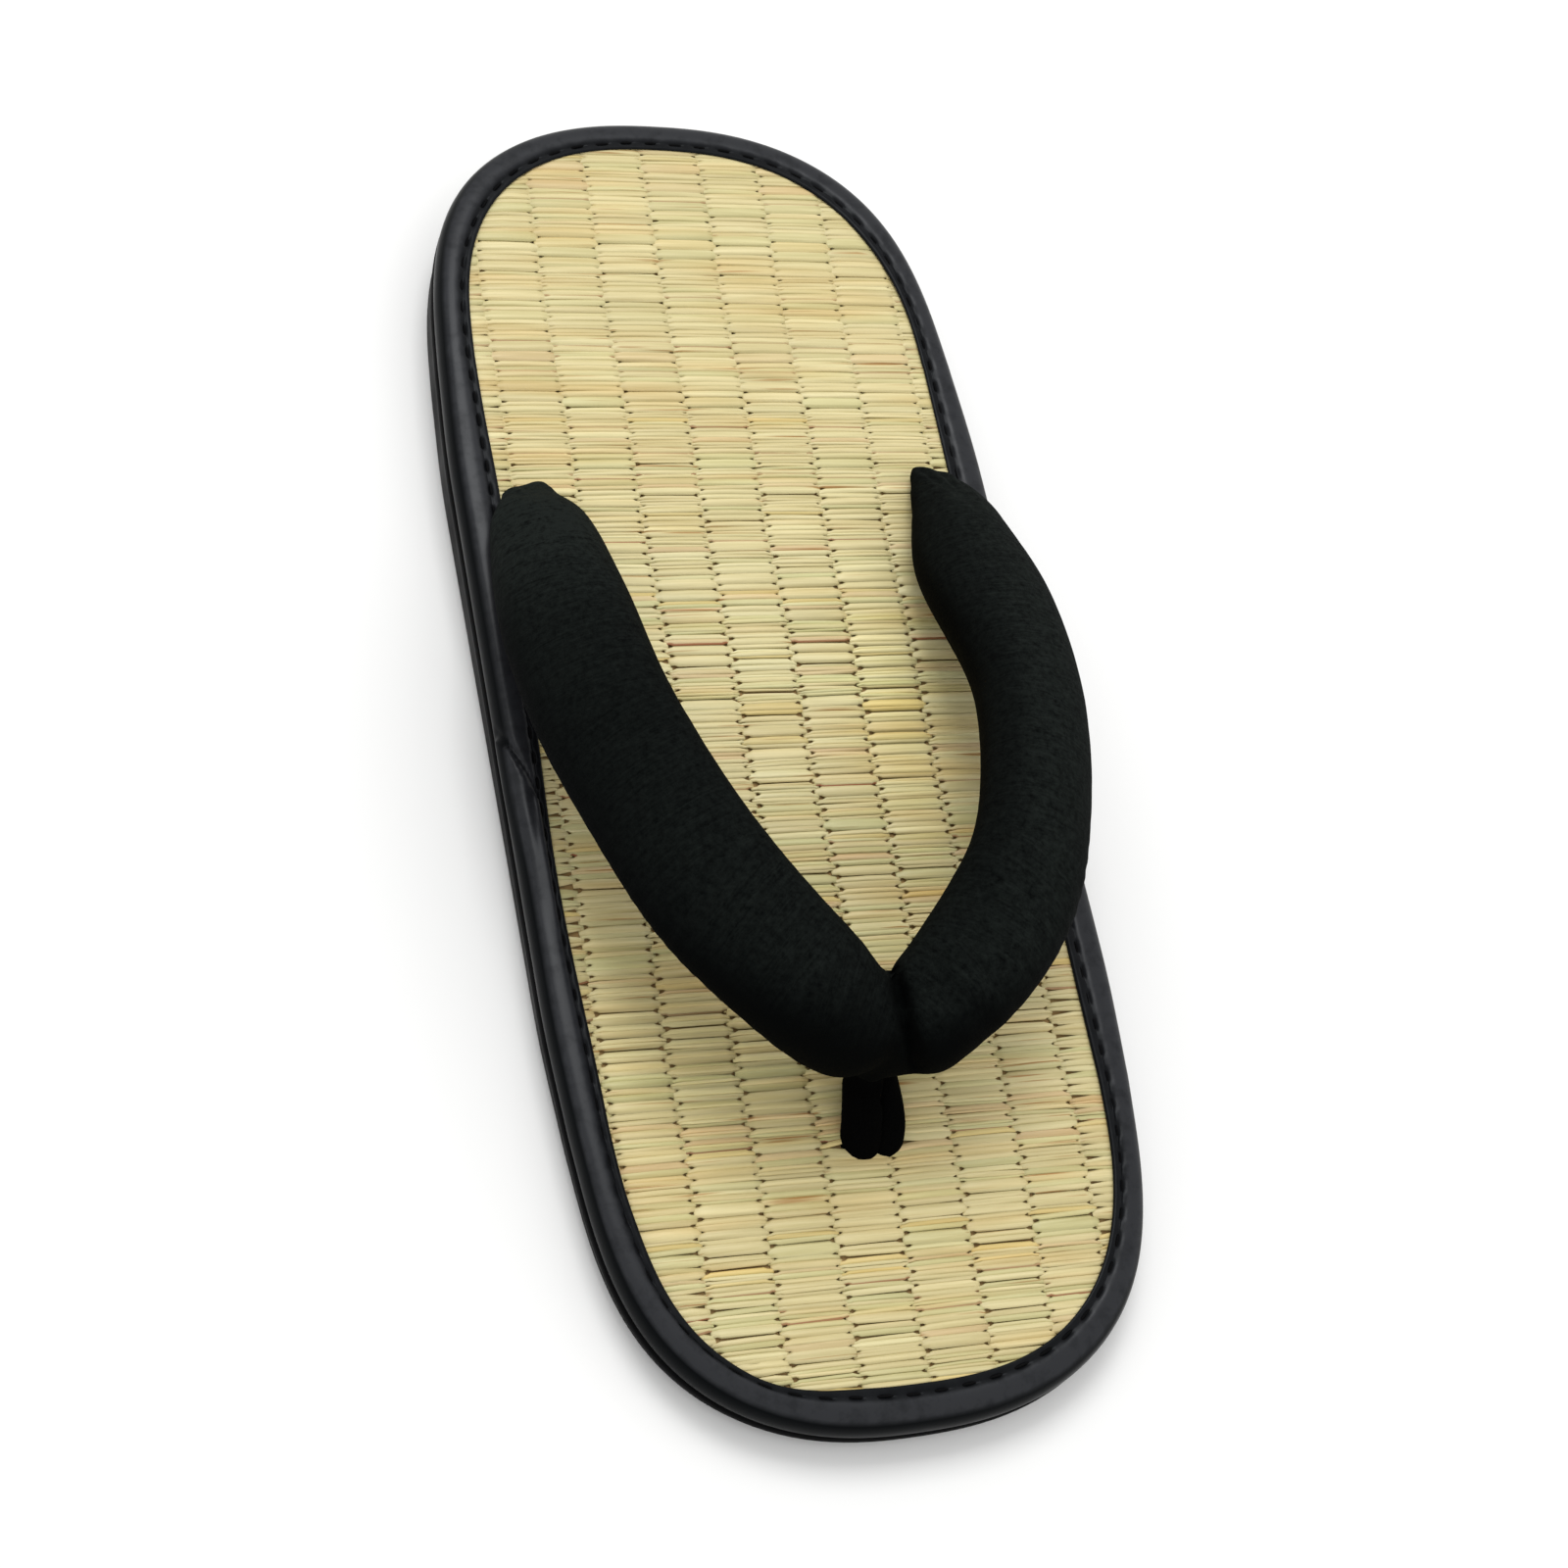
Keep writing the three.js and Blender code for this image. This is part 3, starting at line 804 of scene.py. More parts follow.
past = TAPE_JOINT["y"] - (TAPE_JOINT["out"] - out) * TAPE_JOINT["slant"] - tape_points[:, 1]
on_joint = (tape_points[:, 0] < 0) * smoothstep(JOINT_OUT, out)
on_joint *= smoothstep(JOINT_UP, over)
step = STEP["height"] * smoothstep(STEP["rise"], past) * (1 - smoothstep(STEP["fade"], past))
groove = STEP_GROOVE["depth"] * hill(past, STEP_GROOVE["past"], STEP_GROOVE["reach"])
fold = FOLD["depth"] * hill(out, FOLD_OUT["at_joint"] + FOLD_OUT["drift"] * past, FOLD["reach"])
fold *= np.exp(-past / FOLD["length"]) * smoothstep(FOLD["start"], past)
lift += on_joint * (step - groove - fold)
tape_points += normals_of(tape) * lift[:, None]
print("the tape's end stands up by", round((on_joint * step).max() / MM, 2), "mm")

# %% [markdown]
# The tape's inner edge sways a little. The tape is also narrower at the ball of the foot and laid askew at
# the toe, so there its inner edge moves out, and the seam with it. Last, the mesh notes where the tape gets
# its painted sheen and its coat: on its crown, less on the strip inside the seam, and not at all down the
# side.

# %% Width and painted sheen of the tape
INNER_EDGE = (1.0 * MM, -0.3 * MM)
SWAY = {"most": 0.12 * MM, "length": 11 * MM, "drift": 2, "drift_length": 29 * MM}
TRIM_REACH = 3.5 * MM
TRIM_LEFT = (-8 * MM, -28 * MM)
TRIM_RIGHT = (8 * MM, 28 * MM)
TOE_TRIM = {"span": (-92 * MM, -116 * MM), "left": 1.7 * MM, "right": 0.3 * MM}
BALL_TRIM = {"y": -32 * MM, "reach": 34 * MM, "left": 1.7 * MM, "right": 0.4 * MM}
# where the tape gets its painted sheen, a grey base colour, and its coat
SHEEN_HEIGHT = (0.1 * MM, 0.8 * MM)
SHEEN_CROWN = (1.5 * MM, 2.6 * MM)
SHEEN_STRIP = 0.25


def trim(x, y, out):
    """How far the tape is moved out at a place: all of it at its inner edge, and nothing past the reach."""
    left, right = smoothstep(TRIM_LEFT, x), smoothstep(TRIM_RIGHT, x)
    at_toe = TOE_TRIM["left"] * left + TOE_TRIM["right"] * right
    at_toe = at_toe * smoothstep(TOE_TRIM["span"], y)
    at_ball = BALL_TRIM["left"] * left + BALL_TRIM["right"] * right
    at_ball = at_ball * hill(y, BALL_TRIM["y"], BALL_TRIM["reach"])
    return (at_toe + at_ball) * np.clip(1 - out / TRIM_REACH, 0, 1)


sway = smoothstep(INNER_EDGE, out) * waver(along, SWAY)
sway += trim(tape_points[:, 0], tape_points[:, 1], out)
tape_points[:, :2] += outwards * (on_top * sway)[:, None]
set_points(tape, tape_points)
over = tape_points[:, 2] - mat_top(tape_points[:, 1])
crown = SHEEN_STRIP + (1 - SHEEN_STRIP) * smoothstep(SHEEN_CROWN, out)
keep_values(tape, "painted_sheen_and_coat", crown * smoothstep(SHEEN_HEIGHT, over))
print("the tape's edge moves out by at most", round(sway.max() / MM, 2), "mm")

# %% [markdown]
# Vinyl, rubber and thread are all black, with a fine grain that breaks their reflection. The grain has
# another scale and depth on each, so it is a node group that all three use.

# %% Grain for vinyl, rubber and thread
SLOW_TONE_SCALE = 70.0


def grain_group():
    """A node group: fine pebbled relief from Object coordinates, and a slow change of tone."""
    group = bpy.data.node_groups.new("grain", "ShaderNodeTree")
    group.interface.new_socket("Scale", in_out="INPUT", socket_type="NodeSocketFloat")
    group.interface.new_socket("Height", in_out="OUTPUT", socket_type="NodeSocketFloat")
    group.interface.new_socket("Tone", in_out="OUTPUT", socket_type="NodeSocketFloat")
    scale = group.nodes.new("NodeGroupInput").outputs["Scale"]
    place = add_node(group, "TexCoord").outputs["Object"]
    pebbles = {"Vector": place, "Scale": scale, "Randomness": 1.0}
    cells = add_node(group, "TexVoronoi", pebbles, feature="SMOOTH_F1")
    slow = add_node(group, "TexNoise", {"Vector": place, "Scale": SLOW_TONE_SCALE, "Detail": 3.0})
    results = {"Height": cells.outputs["Distance"], "Tone": slow.outputs["Fac"]}
    feed(group, group.nodes.new("NodeGroupOutput"), results)
    return group


grain = grain_group()


def grained(name, values, scale, depth, rough):
    """A finish whose grain gives relief, and whose roughness changes slowly between the two of rough."""
    material, tree, shader = new_material(name, values)
    skin = tree.nodes.new("ShaderNodeGroup")
    skin.node_tree = grain
    feed(tree, skin, {"Scale": scale})
    relief = add_node(tree, "Bump", {"Height": skin.outputs["Height"], "Strength": 0.5, "Distance": depth})
    spread = {"From Min": 0.3, "From Max": 0.7, "To Min": rough[0], "To Max": rough[1]}
    gloss = add_node(tree, "MapRange", {"Value": skin.outputs["Tone"], **spread})
    feed(tree, shader, {"Normal": relief.outputs["Normal"], "Roughness": gloss.outputs["Result"]})
    return material, tree, shader


print("the grain group has", len(grain.nodes), "nodes")

# %% [markdown]
# The tape's lip and side are black and dull. Its crown is painted a mottled dark grey, a painted sheen for
# the light that the satin vinyl reflects there, and a thin coat, mottled alike, gives it a satin shine.

# %% Vinyl finish
satin = {"Specular IOR Level": 0.05, "Specular Tint": (0.86, 0.94, 1.0, 1), "Coat Roughness": 0.3}
vinyl, tree, shader = grained("vinyl", satin, scale=1900.0, depth=0.02 * MM, rough=(0.24, 0.38))
painted_sheen_and_coat = add_node(tree, "Attribute", attribute_name="painted_sheen_and_coat").outputs["Fac"]
blotches = scaled_noise(tree, scale=(350, 350, 350), detail=3.0, low=0.3, high=0.7)
mottle = add_node(tree, "MapRange", {"Value": blotches, "To Min": 1.25, "To Max": 0.7}).outputs["Result"]
share = add_node(tree, "Math", {0: painted_sheen_and_coat, 1: mottle}, operation="MULTIPLY").outputs["Value"]
shine = add_node(tree, "MapRange", {"Value": share, "To Min": 0.0, "To Max": 0.28}).outputs["Result"]
# painted sheen: the crown's base colour is painted grey for the light that it reflects
tone = two_tones(tree, share, screen(4, 5, 6), screen(38, 39, 42))
feed(tree, shader, {"Base Color": tone, "Coat Weight": shine})
finish_piece(tape, vinyl, "vinyl", "edge_binding")

# %% [markdown]
# ## The stitches
# The thread shows as short dashes in the groove. One stitch is a rod whose ends are drawn in and pushed
# down. Copies of it follow the outline, each a little longer or shorter and a little to one side.

# %% Stitches
STITCH_SIDES = 8
STITCH_CUTS = (-0.8, -0.4, 0.0, 0.4, 0.8)
STITCH_HALF_LENGTH = 1.8 * MM
STITCH_LENGTHS = (0.8, 1.1)
STITCH_ASIDE = 0.07 * MM
STITCH_ENDS = {"power": 4, "thinner": 0.5, "lower": 0.35 * MM}
THREAD_RADIUS = 0.26 * MM
SEAM_HEIGHT = 0.6 * MM

dash_points, dash_faces = rod(STITCH_SIDES, STITCH_CUTS, "NGON")
ends = dash_points[:, 0] ** STITCH_ENDS["power"]
girth = THREAD_RADIUS * (1 - STITCH_ENDS["thinner"] * ends)
stitch_edge, stitch_normals, _ = outline(STITCHES)
stitches = []
for point, normal in zip(stitch_edge, stitch_normals):
    tangent = np.array([-normal[1], normal[0]])
    seam_out = SEAM_OUT + trim(*point, SEAM_OUT) + rng.normal(0, STITCH_ASIDE)
    half_length = STITCH_HALF_LENGTH * rng.uniform(*STITCH_LENGTHS)
    flat = point + normal * seam_out + dash_points[:, :1] * half_length * tangent
    flat = flat + (dash_points[:, 1] * girth)[:, None] * normal
    height = mat_top(flat[:, 1]) + SEAM_HEIGHT + dash_points[:, 2] * girth - STITCH_ENDS["lower"] * ends
    stitches.append(np.c_[flat, height])
seam = joined_copies("seam_thread", stitches, dash_faces)
yarn = {"Base Color": screen(5, 5, 6), "Specular IOR Level": 0.08}
thread, _, _ = grained("thread", yarn, scale=3500.0, depth=0.05 * MM, rough=(0.7, 0.9))
finish_piece(seam, thread, "vinyl")

# %% [markdown]
# ## The outsole
# A wedge of black foam rubber. It is made like the other layers, with a thin lip at its upper edge, a side
# that draws in a little and a soft lower edge. Each row of its section lies at a share of the way from the
# floor to the top face, plus a lift.

# %% Outsole
SOLE_SEGMENTS = 320
SOFT_ANGLE = math.radians(40)
FOOTBED_DEPTH = 5 * MM
LAYER_GAP = 0.3 * MM
TOE_SPRING = 1 * MM
SPRING_LENGTH = 40 * MM
OUTSOLE_ROWS = [
    {"out": 5.6, "share": 1, "lift": 0},
    {"out": 6.4, "share": 1, "lift": 0},
    {"out": 6.75, "share": 1, "lift": -0.15},
    {"out": 6.9, "share": 1, "lift": -0.5},
    {"out": 6.75, "share": 1, "lift": -0.9},
    {"out": 6.5, "share": 0.6, "lift": 0},
    {"out": 6.3, "share": 0.25, "lift": 0},
    {"out": 6.1, "share": 0, "lift": 0.9},
    {"out": 5.7, "share": 0, "lift": 0.3},
    {"out": 5.0, "share": 0, "lift": 0},
    {"out": 4.2, "share": 0, "lift": 0},
]


def outsole_height(share, lift):
    """A height function between the floor, with its rise at the toe, and the outsole's top face."""
    def height(y):
        rise = TOE_SPRING * (max(0, SPRING_LENGTH - MAT_HALF_LENGTH - y) / SPRING_LENGTH) ** 2
        top = mat_top(y) - FOOTBED_DEPTH - LAYER_GAP
        return rise + (top - rise) * share + lift
    return height


outsole_rows = [(r["out"] * MM, outsole_height(r["share"], r["lift"] * MM)) for r in OUTSOLE_ROWS]
sole = ring_piece("rubber_sole", SOLE_SEGMENTS, outsole_rows, joined=False)
only(sole)
bpy.ops.object.shade_smooth_by_angle(angle=SOFT_ANGLE)
matt = {"Base Color": screen(10, 10, 11), "Specular IOR Level": 0.1}
rubber, _, _ = grained("foam_rubber", matt, scale=900.0, depth=0.05 * MM, rough=(0.5, 0.7))
finish_piece(sole, rubber, "foam_rubber", "outsole")

# %% [markdown]
# ## The strap
# The strap is a cloth tube, stuffed and folded flat at its rear ends. Its solid has a tunnel for the loop,
# which cannot be seen. A plug in the shape of the loop closes it first, together with a ball that fills the
# hollow in front, and a voxel remesh makes one even skin of all three.

# %% Strap, closed
STRAP_VOXEL = 1.7 * MM
JOINT_BALL = {"location": (0.5 * MM, -70.5 * MM, 26.4 * MM), "scale": (8.0 * MM, 5.6 * MM, 7.7 * MM)}
PLUG_LEVEL = 22 * MM
PLUG_FATTER = 0.8 * MM
MERGE_WITHIN = 0.001 * MM
SOFTENING = {"factor": 0.5, "iterations": 4}


def merged_copy(name, node):
    """A copy of a solid with its loose triangles merged."""
    copy = nodes[node].copy()
    copy.data = nodes[node].data.copy()
    copy.name = name
    copy.parent = None
    for key in list(copy.keys()):
        del copy[key]
    bpy.context.scene.collection.objects.link(copy)
    only(copy)
    bpy.ops.object.mode_set(mode="EDIT")
    bpy.ops.mesh.select_all(action="SELECT")
    bpy.ops.mesh.remove_doubles(threshold=MERGE_WITHIN)
    bpy.ops.object.mode_set(mode="OBJECT")
    return copy


def cut_level(piece, level, keep_top):
    """Cuts a piece at a height, keeps the part above or below it and closes the cut."""
    only(piece)
    bpy.ops.object.mode_set(mode="EDIT")
    bpy.ops.mesh.select_all(action="SELECT")
    bpy.ops.mesh.bisect(
        plane_co=(0, 0, level),
        plane_no=(0, 0, 1),
        use_fill=True,
        clear_inner=keep_top,
        clear_outer=not keep_top,
    )
    bpy.ops.object.mode_set(mode="OBJECT")


plug = merged_copy("plug", "toe_loop")
cut_level(plug, PLUG_LEVEL, keep_top=True)
set_points(plug, points_of(plug) + normals_of(plug) * PLUG_FATTER)
strap = merged_copy("padded_strap", "strap")
bpy.ops.mesh.primitive_uv_sphere_add(radius=1, **JOINT_BALL)
bpy.ops.object.transform_apply(location=True, rotation=True, scale=True)
plug.select_set(True)
strap.select_set(True)
bpy.context.view_layer.objects.active = strap
bpy.ops.object.join()
strap.data.remesh_voxel_size = STRAP_VOXEL
bpy.ops.object.voxel_remesh()
softening = strap.modifiers.new("softening", "SMOOTH")
softening.factor = SOFTENING["factor"]
softening.iterations = SOFTENING["iterations"]
bpy.ops.object.modifier_apply(modifier=softening.name)
print("the closed strap has", len(strap.data.vertices), "points")

# %% [markdown]
# Padding is what a cloth simulation does well: the skin is drawn in a little and blown up by pressure, with
# its rear ends held. No point may end up farther from its start than a small limit, so the strap keeps its
# place.

# %% Strap, stuffed
DRAW_IN = 0.2 * MM
MOST_SWELL = 1.5 * MM
LEAST_MOVE = 1e-9
PRESSURE = 7.0
FRAMES = 20
HELD_FROM = 44 * MM

start = points_of(strap)
set_points(strap, start - normals_of(strap) * DRAW_IN)
held = strap.vertex_groups.new(name="held")
rear = np.flatnonzero(start[:, 1] > HELD_FROM)
held.add(rear.tolist(), 1.0, "REPLACE")
cloth = strap.modifiers.new("padding", "CLOTH")
cloth.settings.vertex_group_mass = held.name
cloth.settings.use_pressure = True
cloth.settings.uniform_pressure_force = PRESSURE
cloth.settings.effector_weights.gravity = 0
for number in range(1, FRAMES + 1):
    bpy.context.scene.frame_set(number)
bpy.ops.object.modifier_apply(modifier=cloth.name)
bpy.context.scene.frame_set(1)
move = points_of(strap) - start
size = np.linalg.norm(move, axis=1)
move *= (np.minimum(size, MOST_SWELL) / np.maximum(size, LEAST_MOVE))[:, None]
set_points(strap, start + move)
print("padding moved the cloth by", round(size.mean() / MM, 2), "mm, at most", round(size.max() / MM, 2))
refine(strap, levels=1)

# %% [markdown]
# No two arms are stuffed alike. The left one is fuller, both are fuller where they face the toe, and the
# right one bulges inwards near its end. These moves fade out towards the rear ends.

# %% Fullness of the arms
LEFT_TO_RIGHT = (-6 * MM, 6 * MM)
REAR = (34 * MM, 46 * MM)
BEHIND_JOINT = (-60 * MM, -25 * MM)
BEHIND_FRONT = (-50 * MM, -25 * MM)
FACING = (0.1, 0.7)
FULLER = {"left": 0.8 * MM, "right": 0.3 * MM, "front": 1.4 * MM, "right_less_by_joint": 2.5}
LESS_FRONT = {"share": 0.8, "span": (-16 * MM, -3 * MM)}
BESIDE_LOOP = {"x": 7 * MM, "reach": 6 * MM, "fuller": 1.0 * MM}
RIGHT_SHIFT = {"by": 0.6 * MM, "span": (4 * MM, 20 * MM)}
BULGE = {"x": 27 * MM, "y": 19 * MM, "reach": 14 * MM, "push": 2.2 * MM, "facing": (0, 0.6)}

strap_points = points_of(strap)
strap_normals = normals_of(strap)
side_x = np.abs(strap_points[:, 0])
x, y = strap_points[:, 0], strap_points[:, 1]  # views, so they follow the moves of the points
right = smoothstep(LEFT_TO_RIGHT, x)
away_from_end = 1 - smoothstep(REAR, y)
facing_toe = smoothstep(FACING, -strap_normals[:, 1]) * (1 - smoothstep(BEHIND_FRONT, y))
by_joint = 1 - smoothstep(BEHIND_JOINT, y)
fuller = FULLER["left"] * (1 - right)
fuller += FULLER["right"] * right * (1 - FULLER["right_less_by_joint"] * by_joint)
front_left = 1 - LESS_FRONT["share"] * smoothstep(LESS_FRONT["span"], x)
front = FULLER["front"] * front_left * (1 - right)
front += (FULLER["front"] + BESIDE_LOOP["fuller"] * hill(x, BESIDE_LOOP["x"], BESIDE_LOOP["reach"])) * right
fuller = fuller * away_from_end + front * facing_toe
strap_points += strap_normals * fuller[:, None]
x += RIGHT_SHIFT["by"] * smoothstep(RIGHT_SHIFT["span"], x) * away_from_end
bulge = hill(x, BULGE["x"], BULGE["reach"]) * hill(y, BULGE["y"], BULGE["reach"])
x -= BULGE["push"] * bulge * smoothstep(BULGE["facing"], -strap_normals[:, 0])
print("the arms are fuller by at most", round(fuller.max() / MM, 2), "mm")

# %% [markdown]
# Cloth folds where it is drawn in. The creases are placed one by one, in the strap's own millimetres, and
# each is a soft trough or ridge. At each rear end, shallow pleats run out from the fold, and one corner of it
# is pulled to a point. The left end is a little shorter.

# %% Creases of the rear ends
PLEATS = [
    {"x": 38.2, "y": 47.0, "turn": 12, "length": 15, "half_width": 0.8, "depth": 0.55},
    {"x": 41.5, "y": 47.5, "turn": -2, "length": 19, "half_width": 0.9, "depth": 0.6},
    {"x": 44.6, "y": 46.0, "turn": -14, "length": 13, "half_width": 0.8, "depth": 0.5},
]
PLEAT_START = (-4 * MM, 1 * MM)
PLEAT_END = (0.2, 1.0)
CORNER = {"x": 37.4 * MM, "y": 49.0 * MM, "reach": 3.2 * MM, "inwards": 0.4 * MM, "back": 1.3 * MM}
LEFT_END = {"span": (36 * MM, 50 * MM), "shorter": 2.8 * MM}


def pleat_depth(x, y, pleat):
    """How deep one pleat is at each point: a trough that starts at the fold and fades out towards the toe."""
    turn = math.radians(pleat["turn"])
    across, ahead = x - pleat["x"] * MM, pleat["y"] * MM - y
    along = ahead * math.cos(turn) + across * math.sin(turn)
    aside = across * math.cos(turn) - ahead * math.sin(turn)
    fade = smoothstep(PLEAT_START, along) * (1 - smoothstep(PLEAT_END, along / (pleat["length"] * MM)))
    return pleat["depth"] * MM * hill(aside, 0, pleat["half_width"] * MM) * fade


upward = smoothstep(FACING, strap_normals[:, 2])
for pleat in PLEATS:
    strap_points -= strap_normals * (pleat_depth(side_x, y, pleat) * upward)[:, None]
corner = hill(side_x, CORNER["x"], CORNER["reach"]) * hill(y, CORNER["y"], CORNER["reach"])
x -= np.sign(x) * CORNER["inwards"] * corner
y += CORNER["back"] * corner
y -= (x < 0) * LEFT_END["shorter"] * smoothstep(LEFT_END["span"], y)
print(len(PLEATS), "pleats at each end")

# %% [markdown]
# Where the two arms meet, a groove runs down the joint's back and top, and it ends in a sharp notch that
# faces the heel.

# %% Groove and notch of the joint
GROOVE = {"lean": 0.412, "x_at_floor": 15.8 * MM, "depth": 3.8 * MM}
GROOVE_PUSH = (0.25, 0.4, -0.88)
GROOVE_FACING = (0.0, 0.5)
GROOVE_START = (-82 * MM, -79 * MM)
GROOVE_END = (-60 * MM, -57 * MM)
GROOVE_WIDTH = {"y": (-68 * MM, -61 * MM), "half": (1.25 * MM, 0.7 * MM)}
NOTCH = {"aside": -0.9 * MM, "half_width": 1.5 * MM, "depth": 1.8 * MM, "span": (-54 * MM, -50 * MM)}

in_groove = smoothstep(GROOVE_START, y) * (1 - smoothstep(GROOVE_END, y))
facing = smoothstep(GROOVE_FACING, -(strap_normals @ GROOVE_PUSH))
aside = x + GROOVE["lean"] * strap_points[:, 2] - GROOVE["x_at_floor"]
half_width = np.interp(y, GROOVE_WIDTH["y"], GROOVE_WIDTH["half"])
trough = hill(aside, 0, half_width) * in_groove * facing
strap_points += GROOVE["depth"] * trough[:, None] * GROOVE_PUSH
facing_heel = smoothstep(GROOVE_FACING, strap_normals[:, 1]) * (1 - smoothstep(NOTCH["span"], y))
y -= NOTCH["depth"] * np.exp(-np.abs(aside - NOTCH["aside"]) / NOTCH["half_width"]) * facing_heel
set_points(strap, strap_points)
print("the groove is", round(GROOVE["depth"] * trough.max() / MM, 2), "mm deep")

# %% [markdown]
# The cloth is matt and very dark, a fuzzy knit with faint, uneven ribs across the strap. The ribs follow
# the arms, so the mesh carries how far along its arm each point lies. It also carries painted light and
# shade: the cloth is painted greyer where it faces the light above and behind it, on the outer side of the
# right arm and at the left rear end, and black underneath, with painted shade along the middle of the left
# arm and in the groove.

# %% What the cloth's points carry
ARM_PATH = [
    {"x": 41.2, "y": 49.4}, {"x": 40.7, "y": 42.5}, {"x": 40.6, "y": 29.4}, {"x": 41.1, "y": 12.0},
    {"x": 38.8, "y": -13.5}, {"x": 28.2, "y": -44.8}, {"x": 13.2, "y": -63.0}, {"x": 0.0, "y": -71.0},
]
PATH_STEPS = 400
LEFT_ARM = (5 * MM, -15 * MM)
RIGHT_ARM = (5 * MM, 20 * MM)
# painted light and painted shade on the cloth, after where the light falls on it
PAINTED_CLOTH_LIGHT = {"most": 0.75, "faces": (-0.1, 0.5, 0.86), "span": (-0.2, 1.0)}
PAINTED_LIGHT_RIGHT_ARM = {"more": 0.6, "less": 0.22, "faces": (0.8, 0.1, 0.6), "span": (0.1, 0.9)}
PAINTED_LIGHT_LEFT_END = {"more": 0.9, "span": (5 * MM, 40 * MM)}
PAINTED_SHADE_LEFT_ARM = {"less": 0.3, "y": -18 * MM, "reach": 22 * MM}
PAINTED_SHADE_GROOVE = 0.8

path = np.array([[row["x"], row["y"]] for row in ARM_PATH]) * MM
path_length = np.r_[0, np.cumsum(np.linalg.norm(np.diff(path, axis=0), axis=1))]
fine_length = np.linspace(0, path_length[-1], PATH_STEPS)
fine_path = np.stack([np.interp(fine_length, path_length, path[:, axis]) for axis in (0, 1)], 1)
strap_points, strap_normals = points_of(strap), normals_of(strap)
x, y = strap_points[:, 0], strap_points[:, 1]
nearest = np.array([((fine_path - point) ** 2).sum(1).argmin() for point in np.c_[np.abs(x), y]])
keep_values(strap, "along_arm", fine_length[nearest])

on_left, on_right = smoothstep(LEFT_ARM, x), smoothstep(RIGHT_ARM, x)
painted_cloth_light = PAINTED_CLOTH_LIGHT["most"] * smoothstep(PAINTED_CLOTH_LIGHT["span"], strap_normals @ PAINTED_CLOTH_LIGHT["faces"])
painted_cloth_light *= 1 - PAINTED_SHADE_LEFT_ARM["less"] * on_left * hill(y, PAINTED_SHADE_LEFT_ARM["y"], PAINTED_SHADE_LEFT_ARM["reach"])
painted_cloth_light += PAINTED_LIGHT_LEFT_END["more"] * smoothstep(PAINTED_LIGHT_LEFT_END["span"], y) * on_left
lit_outer_side = PAINTED_LIGHT_RIGHT_ARM["more"] * smoothstep(PAINTED_LIGHT_RIGHT_ARM["span"], strap_normals @ PAINTED_LIGHT_RIGHT_ARM["faces"])
painted_cloth_light += on_right * (lit_outer_side - PAINTED_LIGHT_RIGHT_ARM["less"])
painted_cloth_light = np.clip(painted_cloth_light, 0, None) * (1 - PAINTED_SHADE_GROOVE * trough)
keep_values(strap, "painted_cloth_light", painted_cloth_light)
print("each arm is", round(path_length[-1] / MM), "mm long")

# %% [markdown]
# A noise makes the ribs: it is quick along the arm and slow in every other direction. A finer noise adds
# the fuzz. Together they are the relief, and they also break up the painted light on the grey places.

# %% Cloth finish
RIBS = {"along": 1500.0, "elsewhere": (180, 180, 180), "depth": 0.4}

cloth_finish, tree, shader = new_material("cloth", {"Roughness": 0.95, "Specular IOR Level": 0.03})
distance = add_node(tree, "Attribute", attribute_name="along_arm").outputs["Fac"]
painted_cloth_light = add_node(tree, "Attribute", attribute_name="painted_cloth_light").outputs["Fac"]
place = add_node(tree, "TexCoord").outputs["Object"]
slow = add_node(tree, "VectorMath", {0: place, 1: RIBS["elsewhere"]}, operation="MULTIPLY").outputs["Vector"]
quick = add_node(tree, "Math", {0: distance, 1: RIBS["along"]}, operation="MULTIPLY").outputs["Value"]
rib_place = add_node(tree, "VectorMath", {0: slow, 1: quick}, operation="ADD").outputs["Vector"]
ribs = add_node(tree, "TexNoise", {"Vector": rib_place, "Scale": 1.0, "Detail": 2.0}).outputs["Fac"]
fuzz = add_node(tree, "TexNoise", {"Vector": place, "Scale": 800.0, "Detail": 6.0, "Roughness": 0.75})
knit = {0: ribs, 1: RIBS["depth"], 2: fuzz.outputs["Fac"]}
height = add_node(tree, "Math", knit, operation="MULTIPLY_ADD").outputs["Value"]
raised = {"Value": height, "From Min": 0.5, "From Max": 0.9, "To Min": 0.1, "To Max": 1.15}
tone = add_node(tree, "MapRange", raised).outputs["Result"]
share = add_node(tree, "Math", {0: tone, 1: painted_cloth_light}, operation="MULTIPLY").outputs["Value"]
# the grey tone is painted light, the black one painted shade
colour = two_tones(tree, share, screen(3, 4, 4), screen(26, 30, 28))
relief = add_node(tree, "Bump", {"Height": height, "Strength": 0.7, "Distance": 0.2 * MM})
feed(tree, shader, {"Base Color": colour, "Normal": relief.outputs["Normal"]})
finish_piece(strap, cloth_finish, "cloth", "strap")

# %% [markdown]
# ## The toe loop
# A narrow velvet band passes round the strap where its arms meet, and goes down between the toes as two
# strands. The part inside the padding cannot be seen and is left out. Low down the strands are plump and
# pressed together, and higher up, at the neck, they are drawn in.

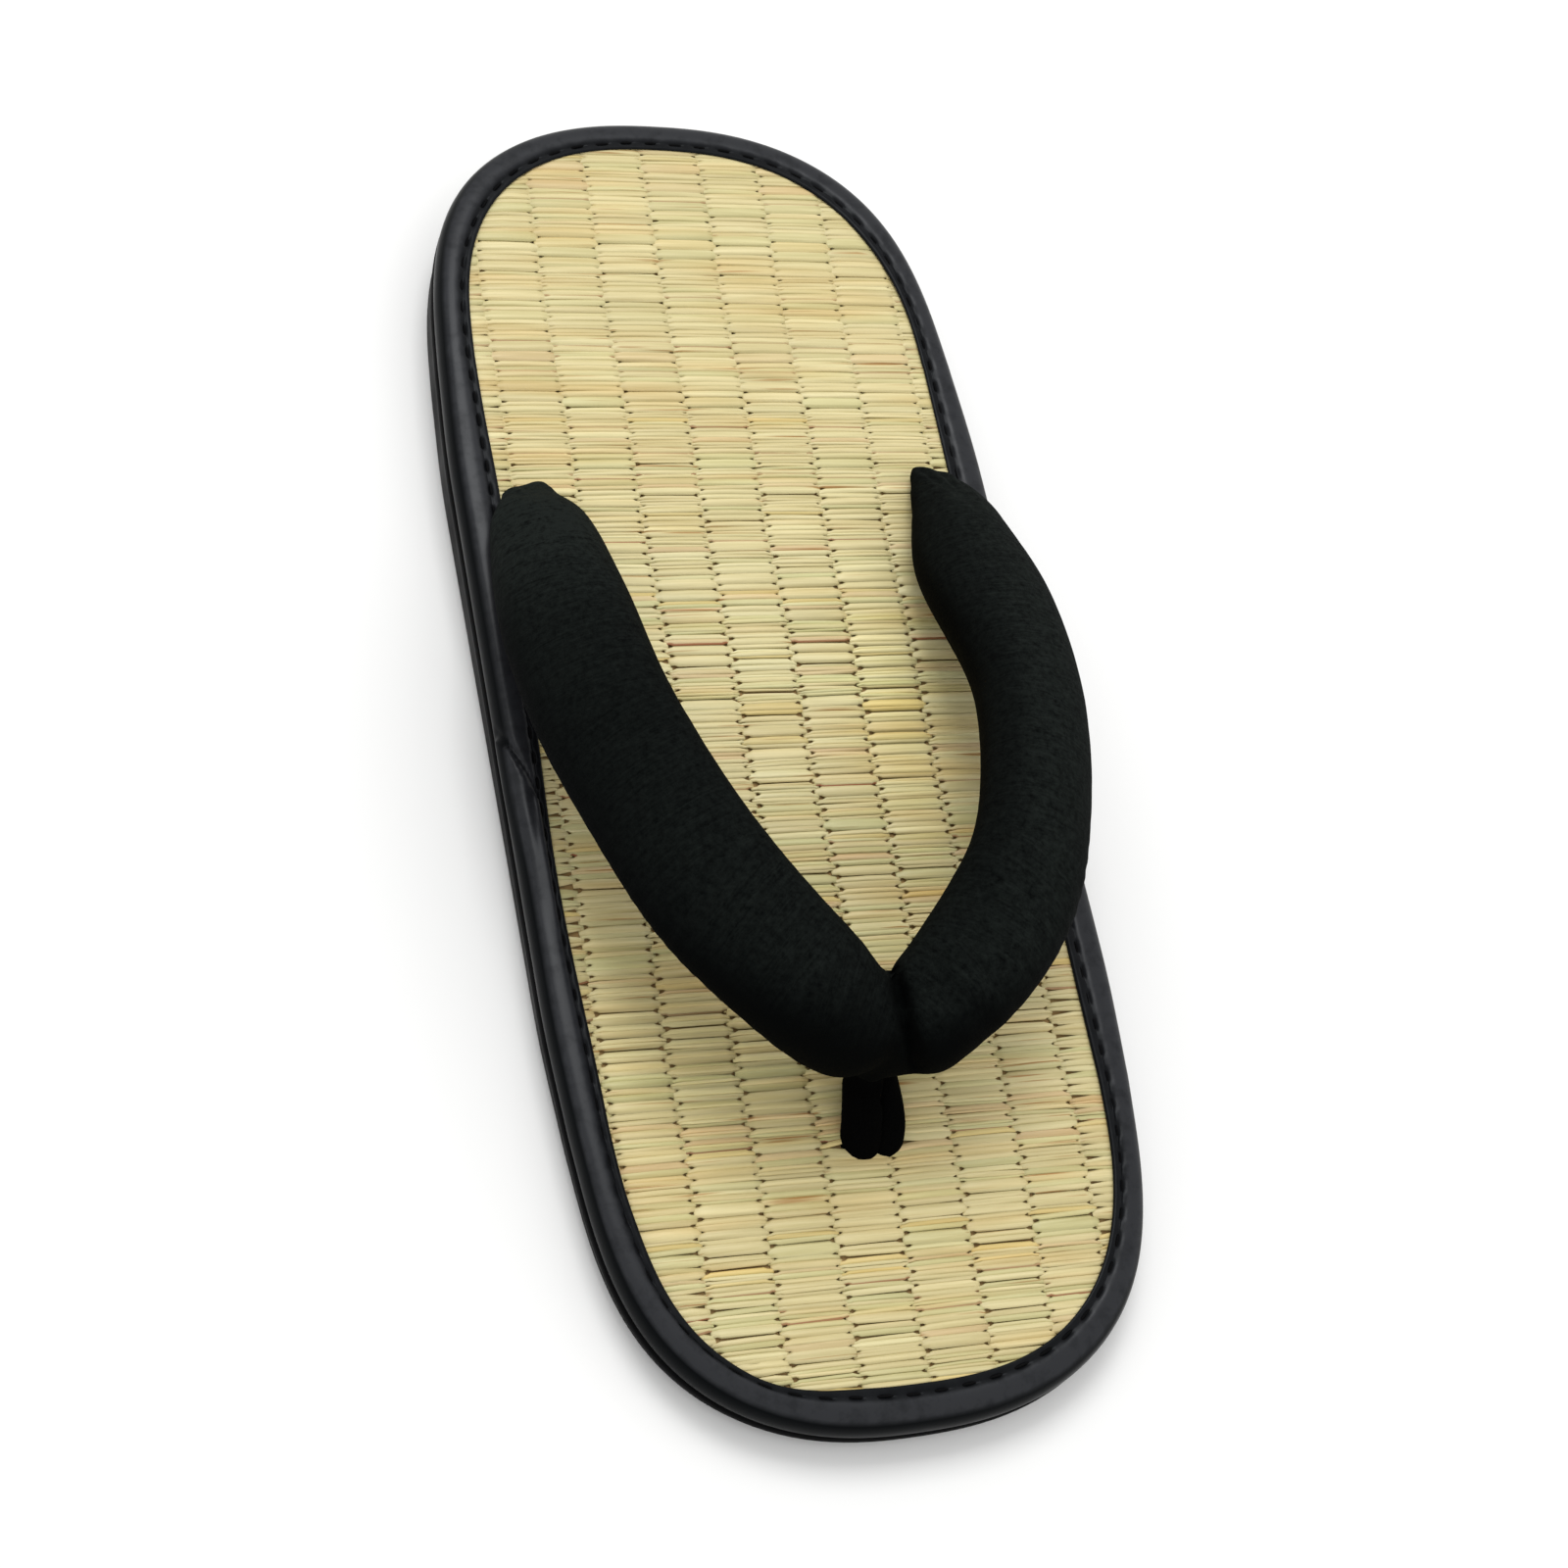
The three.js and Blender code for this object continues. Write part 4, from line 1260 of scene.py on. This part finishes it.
# %% Toe loop
LOOP_TOP = 26 * MM
LOW_DOWN = (21 * MM, 16 * MM)
PLUMP = 1.0 * MM
FOOT_SHIFT = (0.4 * MM, 1.1 * MM)
FEET_TOGETHER = 0.9 * MM
NECK_TOGETHER = {"all": 0.6 * MM, "inner": 1.8 * MM, "span": (4 * MM, 1 * MM)}
NECK_START = (13 * MM, 17 * MM)
NECK_END = (24 * MM, 29 * MM)
NECK_IN = {"by": 1.0 * MM, "span": (0.5 * MM, 4 * MM)}

loop = merged_copy("velvet_loop", "toe_loop")
refine(loop, levels=2)
cut_level(loop, LOOP_TOP, keep_top=False)
loop_points = points_of(loop)
x, z = loop_points[:, 0], loop_points[:, 2]  # views, so they follow the moves of the points
low_down = smoothstep(LOW_DOWN, z)
loop_points += normals_of(loop) * (PLUMP * low_down)[:, None]
loop_points[:, :2] += low_down[:, None] * FOOT_SHIFT
x -= low_down * FEET_TOGETHER * np.sign(x - LOOP_HOLE["x"])
inner_side = smoothstep(NECK_TOGETHER["span"], np.abs(x))
together = NECK_TOGETHER["all"] + NECK_TOGETHER["inner"] * inner_side
x -= (1 - low_down) * together * np.sign(x)
on_neck = smoothstep(NECK_START, z) * (1 - smoothstep(NECK_END, z))
x -= NECK_IN["by"] * on_neck * smoothstep(NECK_IN["span"], x)
set_points(loop, loop_points)
print("the loop is", round((z.max() - z.min()) / MM, 1), "mm high")

# %% [markdown]
# Velvet is the blackest of the finishes: rough, with hardly any reflection. A very fine noise is its pile.

# %% Velvet finish
velvet, tree, shader = new_material("velvet", {"Roughness": 1.0, "Specular IOR Level": 0.02})
place = add_node(tree, "TexCoord").outputs["Object"]
pile = add_node(tree, "TexNoise", {"Vector": place, "Scale": 2600.0, "Detail": 2.0}).outputs["Fac"]
relief = add_node(tree, "Bump", {"Height": pile, "Strength": 0.8, "Distance": 0.2 * MM})
tone = two_tones(tree, pile, screen(1, 1, 1), screen(7, 7, 7))
feed(tree, shader, {"Base Color": tone, "Normal": relief.outputs["Normal"]})
finish_piece(loop, velvet, "velvet", "toe_loop")
